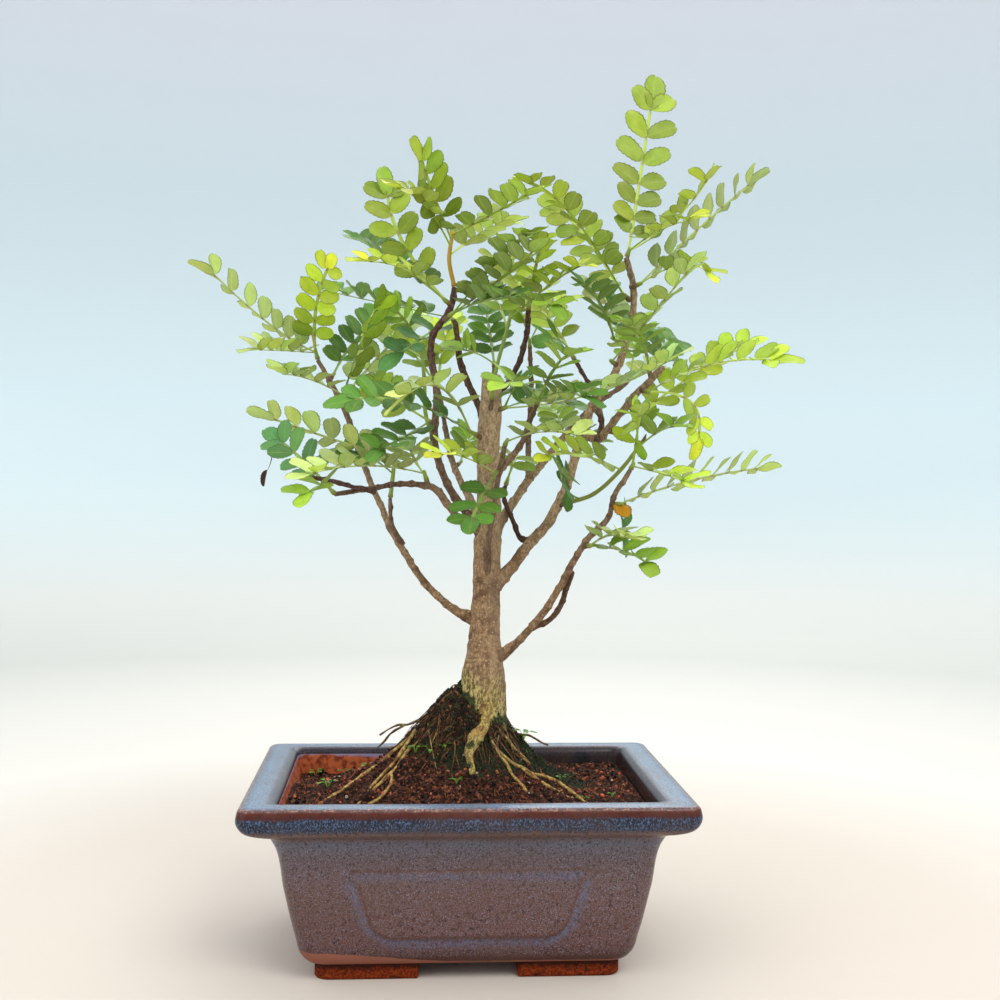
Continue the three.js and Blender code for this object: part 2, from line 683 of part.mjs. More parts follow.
// Between the panel's face and a plane at the depth given, on the front or the back.
function panelSolid(depth, back) {
  const geometry = extruded(panelShape(), 1, 0);
  const position = geometry.attributes.position;
  for (let i = 0; i < position.count; i++) {
    const x = position.getX(i);
    const z = position.getY(i);
    const face = PANEL.lowY + PANEL.lean * (z - PANEL.bottom);
    const near = Math.min(face, depth);
    const far = Math.max(face, depth);
    const y = position.getZ(i) > 0.5 ? near : far;
    position.setXYZ(i, back * x, back * y, z);
  }
  return solidFrom(geometry);
}

function potSolid() {
  const rings = [...OUTER_PROFILE, ...INNER_PROFILE].map((r) => rectangleRing(...r));
  let pot = solidFrom(loftGeometry(rings));
  for (const right of [-1, 1]) {
    for (const back of [-1, 1]) {
      pot = pot.add(footSolid(right, back));
    }
    const drain = new THREE.CylinderGeometry(DRAIN_RADIUS, DRAIN_RADIUS, 3 * FLOOR_Z, DRAIN_SIDES);
    drain.rotateX(Math.PI / 2).translate(right * DRAIN_X, 0, 0);
    pot = pot.subtract(solidFrom(drain));
  }
  for (const back of [-1, 1]) {
    pot = pot.subtract(panelSolid(OUTSIDE_WALL_Y, back)).add(panelSolid(WITHIN_WALL_Y, back));
  }
  return pot;
}

function boxSolid(x, y, z, lengthX, lengthY, height) {
  return solidFrom(new THREE.BoxGeometry(lengthX, lengthY, height).translate(x, y, z));
}

function meshSolid(right) {
  const { side, thick, window, bar } = MESH;
  const middle = FLOOR_Z + GAP + thick / 2;
  const offset = (window + bar) / 2;
  let plate = boxSolid(right * DRAIN_X, 0, middle, side, side, thick);
  for (const x of [-offset, offset]) {
    for (const y of [-offset, offset]) {
      plate = plate.subtract(boxSolid(right * DRAIN_X + x, y, middle, window, window, 2 * thick));
    }
  }
  return plate;
}

// Soil

// Each mound falls off like a bell round its middle, faster in depth by its squeeze.
function soilHeight(x, y) {
  return MOUNDS.reduce((height, m) => {
    const away = (x - m.x) ** 2 + m.squeeze * (y - m.y) ** 2;
    return height + m.rise * Math.exp(-away / m.spread ** 2);
  }, SOIL_BASE);
}

// Crossing waves about 20 mm and 7 mm long
function soilLumps(x, y) {
  const coarse = Math.sin(0.31 * x + 1.7) * Math.sin(0.37 * y + 0.4);
  const fine = Math.sin(0.83 * x - 0.9 * y + 2.1);
  return LUMPS.coarse * coarse + LUMPS.fine * fine;
}

// The inside of the pot at one height, less the gap.
function insideRing(z) {
  let k = 0;
  while (k + 2 < INNER_PROFILE.length && INNER_PROFILE[k + 1][0] > z) k++;
  const [above, below] = [INNER_PROFILE[k], INNER_PROFILE[k + 1]];
  const t = (above[0] - z) / (above[0] - below[0]);
  const [, halfX, halfY, radius] = above.map((v, i) => v + (below[i] - v) * t);
  return rectangleRing(z, halfX - GAP, halfY - GAP, radius, SOIL_SIDE_X, SOIL_SIDE_Y);
}

function soilSolid(wood) {
  const edge = insideRing(SOIL_EDGE_Z).map(([x, y], i) => insideRing(soilHeight(x, y))[i]);
  const surface = (x, y, lumpy) => [x, y, soilHeight(x, y) + (lumpy ? soilLumps(x, y) : 0)];
  const top = SOIL_RINGS.map((s) => edge.map(([x, y]) => surface(x * s, y * s, s < 1)));
  const rings = [insideRing(FLOOR_Z + GAP), ...SOIL_WALL_Z.map(insideRing), ...top.reverse()];
  let soil = solidFrom(loftGeometry(rings));
  for (const right of [-1, 1]) {
    const side = MESH.side + 2 * GAP;
    const room = boxSolid(right * DRAIN_X, 0, FLOOR_Z + GAP, side, side, 2 * (MESH.thick + GAP));
    soil = soil.subtract(room);
  }
  const left = soil.subtract(wood).decompose();
  return left.reduce((a, b) => (a.volume() > b.volume() ? a : b));
}

// Wood

function rootPath(root) {
  return root.map(([x, y, lift, radius]) => [x, y, soilHeight(x, y) + lift, radius]);
}

function spurPath({ stem, reach }) {
  const from = new THREE.Vector3(...stem[0]);
  const way = new THREE.Vector3(...stem[1]).sub(from).normalize();
  const to = from.clone().addScaledVector(way, reach);
  return [
    [from.x, from.y, from.z, SPUR_RADIUS],
    [to.x, to.y, to.z, SPUR_RADIUS * SPUR_TAPER],
  ];
}

function woodSolid(grow) {
  const parts = [limbSolid(LIMBS.trunk, TRUNK_SIDES, grow)];
  for (const root of ROOTS) {
    parts.push(limbSolid(rootPath(root), THIN_SIDES, grow));
  }
  if (grow > 0) return unite(parts);
  for (const [name, path] of Object.entries(LIMBS)) {
    if (name !== "trunk") parts.push(limbSolid(path, sidesFor(path)));
  }
  for (const shoot of Object.values(SHOOTS)) {
    if (shoot.reach > AT_TIP) parts.push(limbSolid(spurPath(shoot), THIN_SIDES));
  }
  return unite(parts);
}

// Fronds

// A frond is one thin arched blade cut to its leaf stalk and leaflets. It follows the curve from
// its base through the point halfway to its tip; `across` runs to the leaflets' side.
function frondSolid(base, [, mid, tip, grown, face]) {
  const from = base.clone();
  const to = new THREE.Vector3(...tip);
  const length = from.distanceTo(to);
  const knee = new THREE.Vector3(...mid).multiplyScalar(2);
  knee.addScaledVector(from, -0.5).addScaledVector(to, -0.5);
  const facing = new THREE.Vector3(...face).normalize();
  const lift = THREE.MathUtils.degToRad(LIFT + LIFT_WHEN_LEVEL * facing.z ** 2);
  const points = [];

  // Both faces of the blade at a distance along the frond and across it.
  function place(along, across) {
    const u = along / length;
    const p = new THREE.Vector3()
      .addScaledVector(from, (1 - u) ** 2)
      .addScaledVector(knee, 2 * u * (1 - u))
      .addScaledVector(to, u * u);
    const ahead = new THREE.Vector3()
      .addScaledVector(knee, 2 - 4 * u)
      .addScaledVector(from, 2 * u - 2)
      .addScaledVector(to, 2 * u)
      .normalize();
    const normal = facing.clone().addScaledVector(ahead, -facing.dot(ahead)).normalize();
    const sideways = new THREE.Vector3().crossVectors(normal, ahead);
    const beyond = Math.max(0, Math.abs(across) - RIB_HALF);
    const level = Math.sign(across) * (Math.abs(across) - beyond * (1 - Math.cos(lift)));
    p.addScaledVector(sideways, level).addScaledVector(normal, beyond * Math.sin(lift));
    points.push(p.clone().addScaledVector(normal, BLADE / 2), p.addScaledVector(normal, -BLADE / 2));
    return points.length - 2;
  }

  const faces = [];
  const flat = (a, b, c) => faces.push([a, b, c], [a + 1, c + 1, b + 1]);
  const wall = (a, b) => faces.push([a, a + 1, b + 1], [a, b + 1, b]);

  // A length of the stalk between its two pairs of edge points.
  function stalk([left, right], [nextLeft, nextRight]) {
    flat(left, nextRight, right);
    flat(left, nextLeft, nextRight);
  }

  function stalkWalls([left, right], [nextLeft, nextRight]) {
    wall(left, nextLeft);
    wall(nextRight, right);
  }

  // One leaflet beyond the stalk's edge from a to b, on the side given.
  function leaflet(start, end, a, b, side) {
    const lean = (LEAFLET.lean * Math.PI) / 180;
    const centre = (start + end) / 2;
    const corners = LEAFLET_CORNERS.map(([far, wide]) => {
      const l = far * LEAFLET.length;
      const w = wide * LEAFLET.half;
      const along = centre + l * Math.cos(lean) + w * Math.sin(lean);
      return place(along, side * (RIB_HALF + l * Math.sin(lean) - w * Math.cos(lean)));
    });
    const ring = [a, ...corners, b];
    closeLeaf(side > 0 ? ring : ring.reverse());
  }

  // The ring runs clockwise seen from the upper face; its first and last points are on the stalk.
  function closeLeaf(ring) {
    for (let i = 1; i + 1 < ring.length; i++) flat(ring[0], ring[i + 1], ring[i]);
    for (let i = 1; i < ring.length; i++) wall(ring[i], ring[i - 1]);
  }

  const pairs = Math.max(1, Math.floor(grown / 2));
  const tipStart = length - TIP_LEAFLET_START;
  const step = (tipStart - PETIOLE) / pairs;
  const across = (along) => [place(along, -RIB_HALF), place(along, RIB_HALF)];
  let before = across(0);
  wall(before[1], before[0]);
  for (let i = 0; i < pairs; i++) {
    const start = PETIOLE + step * (i + 0.5) - JOINT / 2;
    const end = start + JOINT;
    const [from, to] = [across(start), across(end)];
    stalk(before, from);
    stalkWalls(before, from);
    stalk(from, to);
    leaflet(start, end, from[1], to[1], 1);
    leaflet(start, end, from[0], to[0], -1);
    before = to;
  }
  const neck = across(tipStart);
  stalk(before, neck);
  stalkWalls(before, neck);
  const last = TIP_CORNERS.map(([far, wide]) =>
    place(tipStart + far * LEAFLET.tip, wide * LEAFLET.half),
  );
  closeLeaf([neck[1], ...last, neck[0]]);

  return solidFrom(indexed(points, faces));
}

// The green stem from the spur's end, and the point a part of the way along it.
function stemPoints({ stem, reach }) {
  const corners = stem.map((p) => new THREE.Vector3(...p));
  const way = corners[1].clone().sub(corners[0]).normalize();
  corners[0].addScaledVector(way, reach + GAP);
  if (way.dot(corners[1].clone().sub(corners[0])) < BUD) {
    corners[1] = corners[0].clone().addScaledVector(way, BUD);
  }
  return corners;
}

function pointAlong(corners, part) {
  const lengths = corners.slice(1).map((p, i) => p.distanceTo(corners[i]));
  const total = lengths.reduce((a, b) => a + b);
  let left = SUNK + (total - 2 * SUNK) * part;
  let i = 0;
  while (i + 1 < lengths.length && left > lengths[i]) left -= lengths[i++];
  return corners[i].clone().lerp(corners[i + 1], left / lengths[i]);
}

function shootSolid(shoot) {
  const corners = stemPoints(shoot);
  const path = corners.map((p, i) => [p.x, p.y, p.z, STEM_RADIUS * (i ? STEM_TAPER : 1)]);
  const parts = shoot.fronds.map((frond) => frondSolid(pointAlong(corners, frond[0]), frond));
  return unite([limbSolid(path, THIN_SIDES), ...parts]);
}

// The plant

const plant = new THREE.Group();
plant.name = "japanese_pepper_bonsai";

function addPiece(name, solid, color, roughness) {
  const material = new THREE.MeshStandardMaterial({ color, roughness, side: THREE.FrontSide });
  const mesh = new THREE.Mesh(geometryFrom(solid), material);
  mesh.name = name;
  mesh.position.set(-MIDDLE_X, -MIDDLE_Y, 0);
  plant.add(mesh);
}

addPiece("pot", potSolid(), COLOURS.pot, 0.35);
addPiece("drain_mesh_left", meshSolid(-1), COLOURS.mesh, 0.8);
addPiece("drain_mesh_right", meshSolid(1), COLOURS.mesh, 0.8);
addPiece("soil", soilSolid(woodSolid(SOIL_CLEARANCE).simplify(SMOOTH)), COLOURS.soil, 1);
addPiece("wood", woodSolid(0), COLOURS.wood, 0.9);
for (const [name, shoot] of Object.entries(SHOOTS)) {
  addPiece("shoot_" + name, shootSolid(shoot), TONES[shoot.fronds[0][5]], 0.6);
}

export default plant;
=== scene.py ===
"""A young Japanese pepper tree grown as a bonsai, with its soil, in a glazed pot.

The tables hold millimetres from the middle of the pot's underside, with X to the viewer's right,
Y away from the viewer and Z up. `to_row` turns such points into the metres of the row frame.
"""

import math

import bmesh
import bpy
import numpy as np
from bpy.props import FloatProperty, FloatVectorProperty, IntProperty, PointerProperty
from mathutils import Matrix, Vector


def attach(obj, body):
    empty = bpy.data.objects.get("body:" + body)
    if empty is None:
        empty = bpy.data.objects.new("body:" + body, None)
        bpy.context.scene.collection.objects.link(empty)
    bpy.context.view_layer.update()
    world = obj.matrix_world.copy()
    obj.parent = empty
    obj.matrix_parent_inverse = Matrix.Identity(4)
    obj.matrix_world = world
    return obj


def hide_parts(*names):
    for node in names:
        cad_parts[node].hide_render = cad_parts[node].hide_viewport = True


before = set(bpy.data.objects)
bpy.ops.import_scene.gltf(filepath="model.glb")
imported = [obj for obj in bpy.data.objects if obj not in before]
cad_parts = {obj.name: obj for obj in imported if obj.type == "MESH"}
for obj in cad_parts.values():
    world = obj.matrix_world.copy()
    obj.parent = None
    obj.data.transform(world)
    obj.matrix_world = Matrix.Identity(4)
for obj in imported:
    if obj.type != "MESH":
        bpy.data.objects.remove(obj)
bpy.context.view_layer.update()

bl_info = {
    "name": "Pepper bonsai",
    "version": (1, 0, 0),
    "blender": (4, 5, 0),
    "location": "3D View > Sidebar > Bonsai",
    "description": "Builds the looks of a potted Japanese pepper bonsai",
    "category": "Add Mesh",
}

MM = 0.001
POT_MIDDLE = np.array([-6.0, -6.0, 0.0])
SEED = 26

# Pot. Height, half length, half depth and corner radius: up the outside, over the rim, down inside
OUTER_WALL = [
    (5.2, 51.2, 39.2, 5), (5.7, 53.2, 40.9, 6), (8, 55.6, 42.6, 7), (14, 57.4, 43.9, 7),
    (30, 61.1, 45.9, 7), (46.5, 64.8, 47.9, 7), (48.4, 65.9, 48.7, 6.8), (49.6, 68, 50.2, 6),
    (50.5, 71, 52.4, 5.2), (51.6, 73.5, 53.9, 4.6), (53.5, 75, 55, 4.3), (55.6, 75.7, 55.4, 4.2),
    (58, 75.4, 55.1, 4), (59.4, 74.9, 54.7, 3.8), (60, 73.9, 53.9, 3.6),
]
RIM_TOP = [(60, 73.9, 53.9, 3.6), (60.15, 69, 50, 3.6), (60, 65.2, 46.8, 3.8)]
INNER_WALL = [
    (60, 65.2, 46.8, 3.8), (59.6, 64.3, 46, 3.6), (58.8, 63.6, 45.2, 3.4), (56, 62.94, 44.68, 3.2),
    (46, 61.29, 43.55, 3.2), (20, 57, 40.6, 3.2), (12, 54.2, 39, 3.2), (10, 53, 38.2, 3.2),
]
UNDERSIDE_Z = 5.2
FLOOR_Z = 10.0
DRAIN_X = 26.0
DRAIN_RADIUS = 6.0
# Half the side of a drain mesh, and the room that the soil leaves over it
MESH_HALF = 12
MESH_ROOM = 1.1
FOOT = {"out_x": 51.1, "out_y": 39.8, "in_x": 16.5, "in_y": 17.0, "bar": 9.0, "corner": 5.0}
FOOT_TOP = 6.4
FOOT_INNER_CORNER = 1.0
# Steps along a long side, a short side and a corner of a ring of points
POT_STEPS = (264, 34, 7)
GROUND_STEPS = (96, 30, 4)
# Steps of the seam between the floor's halves, and from the outline to a drain hole
SEAM_STEPS = 24
HOLE_STEPS = 6
# The raised panel line. Half widths at the top and the bottom, heights, the face's place and lean
PANEL_CORNER = 6.0
PANEL = {"half": 38.4, "low": 31.0, "top": 37.6, "bottom": 15.0, "face": 45.3, "lean": 0.05}

# The glaze's colour, and how thick its freckles lie: outside and inside by height, and on top of
# the rim by the way from its outer edge to its inner one
GLAZE_BANDS = (
    ("outside", (
        (6, (0.26, 0.14, 0.11)), (14, (0.36, 0.23, 0.20)), (30, (0.37, 0.26, 0.23)),
        (42, (0.35, 0.28, 0.28)), (46.8, (0.37, 0.36, 0.40)), (49.3, (0.38, 0.29, 0.26)),
        (51.5, (0.42, 0.33, 0.30)), (53.2, (0.17, 0.16, 0.20)), (56.4, (0.07, 0.09, 0.15)),
        (57.2, (0.26, 0.09, 0.05)), (58.9, (0.33, 0.13, 0.07)), (59.7, (0.38, 0.26, 0.23)),
    )),
    ("top", (
        (0.02, (0.34, 0.41, 0.50)), (0.2, (0.46, 0.53, 0.61)), (0.75, (0.48, 0.51, 0.57)),
        (1, (0.26, 0.22, 0.25)),
    )),
    ("inside", (
        (59.3, (0.12, 0.05, 0.04)), (58, (0.11, 0.07, 0.07)), (55, (0.09, 0.04, 0.03)),
        (40, (0.16, 0.08, 0.05)),
    )),
)
GLAZE_FRECKLES = (
    ("outside", (
        (7.8, 0.0), (9, 0.6), (30, 0.66), (46, 0.75), (49.5, 0.35), (52, 0.3), (53.4, 0.9),
        (56.6, 0.9), (57.4, 0.04), (59.2, 0.04),
    )),
    ("top", ((0.02, 0.9), (0.5, 0.8), (1, 0.4))),
    ("inside", ((56, 0.1),)),
)

# Where the soil meets the pot's wall, and where the loose crumbs end
SOIL_EDGE = 54.0
CRUMB_EDGE = 52.0
# The mound's bumps over its base: height, x, y, spread, squeeze in depth
MOUND_BASE = 53.5
MOUND = ((16, -4, 0, 1156, 1.2), (21, 1, 1, 428.5, 1.5), (-4, -50, 36, 400, 1))

# Room left between pieces that touch
GAP = 0.3
# Spacing of the rings of points on small round forms
FINE_STEP = 0.5

# Leafy shoots. A spur that reaches no further than AT_TIP is the end of its limb; a stem is at
# least BUD long, and its fronds start SUNK from its ends or further in.
STEM_RADIUS = 0.8
STEM_SIDES = 10
SPUR_RADIUS = 1.0
SPUR_TAPER = (1, 0.95, 0.9)
SPUR_DARKNESS = 0.75
AT_TIP = 0.4
BUD = 2.2
SUNK = 0.9
# Fronds: the bare part of the stalk, the stalk's winged half width, and the leaflets
PETIOLE = 8.0
WING = 0.72
TIP_LEAFLET = 11.5
TIP_LEAFLET_START = 9.6
LEAFLET_LEAN = 66.0
LEAFLET_SPACING = 6.1
GROWING_PAIRS = 6
# Degrees by which leaflets rise out of their frond, and how much more where it lies level
LIFT = 5.0
LIFT_WHEN_LEVEL = 24.0
# How much the leaflets' upper sides turn to the light
TO_LIGHT = (0, -0.28, 0.12)

# Leaflets: rows and columns of faces, and how deep their rounded teeth are
LEAF_ROWS = 18
LEAF_COLUMNS = 4
TOOTH_DEPTH = 0.05

# An old healed cut on the trunk
TRUNK_SCAR = (2.0, -5.4, 100.5)
# Faces round the trunk, round thick and thin limbs and round roots, and a thick limb's radius
TRUNK_SIDES = 84
LIMB_SIDES = (20, 14)
THICK_LIMB = 1.9
ROOT_SIDES = 14
# How dark a limb's bark is
USUAL_DARKNESS = 0.35
TWIG_DARKNESS = {
    "left_low": 0.2, "left_arm": 0.5, "left_arm_stub": 0.6, "left_tall": 0.85, "dark_twig": 0.9,
    "top_twig": 0.9, "front_twig": 0.32, "hook_twig": 0.95, "right_main": 0.1, "right_knee": 0.6,
    "right_fork": 0.4, "right_low": 0.2, "right_low_twin": 0.4, "inner_twig": 0.8,
}

# Stage: the camera's place in mm, its yaw, pitch and roll in degrees, and the lamps
CAMERA_PLACE = (-28.1, -483.6, 164.5)
CAMERA_TURN = (4.05, -0.70, 0.61)
SENSOR = 36
ROOM_LIGHT = ((0.98, 0.99, 1.0, 1), 1.75)
LAMP_TARGET = (0, 0, 0.16)
SWEEP_SIDES = 96
# The colour of the floor and the backdrop at a radius plus height in metres
BACKDROP = (
    (0.20, (0.787, 0.747, 0.704)), (0.35, (0.812, 0.797, 0.767)), (0.80, (0.733, 0.735, 0.712)),
    (1.18, (0.791, 0.792, 0.771)), (1.53, (0.783, 0.834, 0.841)), (1.80, (0.781, 0.842, 0.855)),
    (2.03, (0.766, 0.818, 0.834)), (2.21, (0.757, 0.802, 0.822)), (2.51, (0.766, 0.776, 0.806)),
)
# Soft lamps: name, place, size, power, colour
LAMPS = (
    ("key", (0.45, -0.75, 0.95), 0.7, 6.5, (1.0, 0.98, 0.94)),
    ("fill", (-0.9, -0.6, 0.5), 0.9, 3.0, (0.94, 0.97, 1.0)),
    ("back", (0.2, 0.9, 0.8), 0.8, 4.0, (1.0, 1.0, 0.97)),
)

# Trunk, limbs and twigs, from the root end: x, y, z, radius
LIMBS = {
    "trunk": [
        (6, 0, 50, 13.5), (6, 0, 61, 12.6), (6.1, 0, 70, 11), (6, 0, 79.5, 9.7), (6, 0, 86, 8.9),
        (6.2, 0, 93.5, 8.1), (6.5, 0, 102.5, 6.5), (7.3, 0, 137, 4.9),
        (7.6, 1, 156, 4.3), (7.4, 1, 176.5, 4.2), (8.7, 3, 203.5, 3.4),
    ],
    "left_low": [
        (5, 0, 114.5, 1.8), (-4, 3, 118.5, 1.35), (-13, 8, 126, 1.3), (-29, 18, 150, 1.2),
        (-36, 22, 165.5, 1.1), (-47.5, 26, 196, 0.95), (-56, 29, 210.5, 0.8),
    ],
    "left_low_twig": [(-23.5, 15, 141.5, 0.9), (-27.5, 12, 150.5, 0.8), (-28, 10, 158.5, 0.75)],
    "left_arm": [
        (5.5, 0, 147.5, 1.7), (0, -3, 149.5, 1.4), (-14, -12, 163.5, 1.2), (-16.5, -14, 164, 1.1),
        (-46, -29, 160.5, 0.75),
    ],
    "left_arm_stub": [(-33, -23, 161.5, 0.8), (-53, -37, 166, 0.65)],
    "left_tall": [
        (5.5, 0, 146, 1.7), (-9, -5, 167.5, 1.35), (-12, -8, 177.5, 1.35), (-11.5, -11, 194, 1.3),
        (-13, -13, 217.5, 1.1), (-7, -14, 226, 1.1), (-6, -15, 232.5, 1),
    ],
    "dark_twig": [
        (6.5, 1, 180.5, 1.5), (5, 8, 191, 1.25), (-1.5, 14, 206, 1.2), (-4.5, 20, 225, 1),
    ],
    "top_twig": [
        (8, 2, 190.5, 1.4), (11.5, 6, 197, 1.1), (16, 7, 203.5, 1), (21, 4, 219, 0.95),
        (21.5, 2, 227.5, 0.85),
    ],
    "front_twig": [(6.9, -2.5, 130, 1.1), (7.6, -7.4, 144, 0.95), (12, -14, 177.5, 0.9)],
    "hook_twig": [
        (25, 2, 145, 1), (21, 5, 144, 0.95), (17, 9, 151.5, 0.85), (14, 11, 160.5, 0.8),
        (14.5, 12, 163.5, 0.75),
    ],
    "right_main": [
        (6.5, 0, 126, 2.4), (13.5, -1, 131.5, 2.1), (21, 0, 140.5, 1.95), (31.5, 3, 153.5, 1.8),
        (37, 5, 166, 1.7), (45, 5, 192, 1.5), (53, 2, 205.5, 1.35), (57, -1, 216, 1.3),
        (58, -6, 238, 1.1), (55.5, -8, 245.5, 0.95),
    ],
    "right_knee": [(46.5, 5, 194, 1.4), (49, 2, 188, 1), (46, -4, 180.5, 1.1)],
    "right_fork": [
        (42.5, 6, 184.5, 1.4), (47, 0, 181, 1.35), (50, -5, 184.5, 1.3), (59, -12, 197, 1.25),
        (67.5, -16, 206, 1.15),
    ],
    "right_low": [
        (8, 0, 100, 2), (14, -3, 104, 1.5), (27.5, -11, 120, 1.3), (40.5, -19, 144.5, 1.1),
        (48, -22, 153.5, 1), (49, -24, 159, 0.95), (54.5, -27, 169.5, 0.8),
    ],
    "right_low_twin": [
        (22.5, -8, 113.5, 1.1), (28, -6, 115, 1), (33, -7, 120.5, 1), (35, -10, 127.5, 0.95),
        (36.5, -15, 133.5, 0.9),
    ],
    "inner_twig": [(48, 4, 196, 1.1), (45.5, 9, 200.5, 0.85), (40.5, 15, 211, 0.75)],
    "back_left": [
        (6.5, 2, 137, 2), (2, 20, 158.5, 1.4), (-3.5, 28, 169.5, 1.2), (-9.5, 39, 199, 0.8),
    ],
    "back_right": [
        (8, 2, 144, 2.2), (14.5, 12, 153, 1.7), (24.5, 23, 166, 1.5), (37, 32, 181.5, 1.25),
        (49.5, 39, 194, 1.1), (64, 44, 204.5, 0.9),
    ],
    "back_middle": [
        (24.5, 23, 166, 1.2), (24.5, 30, 181.5, 1), (26, 35, 199, 0.9), (25.5, 38, 217, 0.75),
    ],
    "front_upper": [
        (7, 0, 166, 1.6), (11, -9, 169.5, 1.3), (16.5, -16, 176.5, 1.1), (22, -26, 191.5, 0.75),
    ],
}
# Roots on the soil: x, y, height of the middle over the soil, radius
ROOTS = [
    [
        (2, -2, 0, 2.8), (-8, -4, -3.2, 1.7), (-21, -4, 0.2, 1.2), (-34, -6, 0.8, 1),
        (-44, -15, 0.4, 0.8), (-53, -27, -1, 0.6),
    ],
    [
        (2, -3, -3, 2.2), (-7, -6, -3, 1.4), (-20, -10, 0, 1.1), (-30, -19, 0.5, 0.95),
        (-39, -31, -1, 0.6),
    ],
    [
        (4, 2, -1, 2), (-9, 2, -1, 1.1), (-15, 2, 0.4, 0.9), (-20.6, 2, 4.1, 0.8),
        (-25.6, 2, 8.3, 0.7), (-30.5, 2, 9.1, 0.55),
    ],
    [
        (7, -4, 5, 3), (6.5, -9, 1.2, 2.2), (5.5, -12.5, 1.4, 1.8), (3, -15.2, 1.4, 2.6),
        (0.5, -18.5, 0.5, 1.5), (1.5, -22.5, -1, 1.1),
    ],
    [(8, -3, -2, 2.2), (11.5, -10, 0.6, 1.3), (17.5, -10.5, 0.6, 1.05), (23, -11.5, -0.6, 0.8)],
    [(6, -10, -3.4, 1.8), (13, -16.5, 0.5, 1), (22, -17, 0.5, 0.95), (36, -21, -1, 0.7)],
    [
        (21, -17, 0.4, 0.9), (27, -14.5, 0.6, 0.9), (32, -13, 0.6, 1), (37, -20, 0.6, 1),
        (43, -32, -0.8, 0.7),
    ],
    [
        (6, 2, -1, 1.6), (17, 3, -1.4, 0.9), (20.5, 3, 1.4, 0.8), (24, 3, 5, 0.7),
        (30.5, 3, 7.4, 0.55),
    ],
    [(4, 2, 2, 2.4), (-1, 12, 0.8, 1.7), (-9, 21, 0.6, 1.2), (-18, 31, -1, 0.7)],
    [(8, 2, 2, 2.4), (15, 11, 0.7, 1.6), (25, 18, 0.5, 1.1), (35, 26, -1, 0.6)],
]
# Places in the lists of the roots that are dark all along, and of the pale thick one in front
DARK_ROOTS = (2, 7)
DARK_LOOSE_ROOTS = (2,)
PALE_ROOT = 3
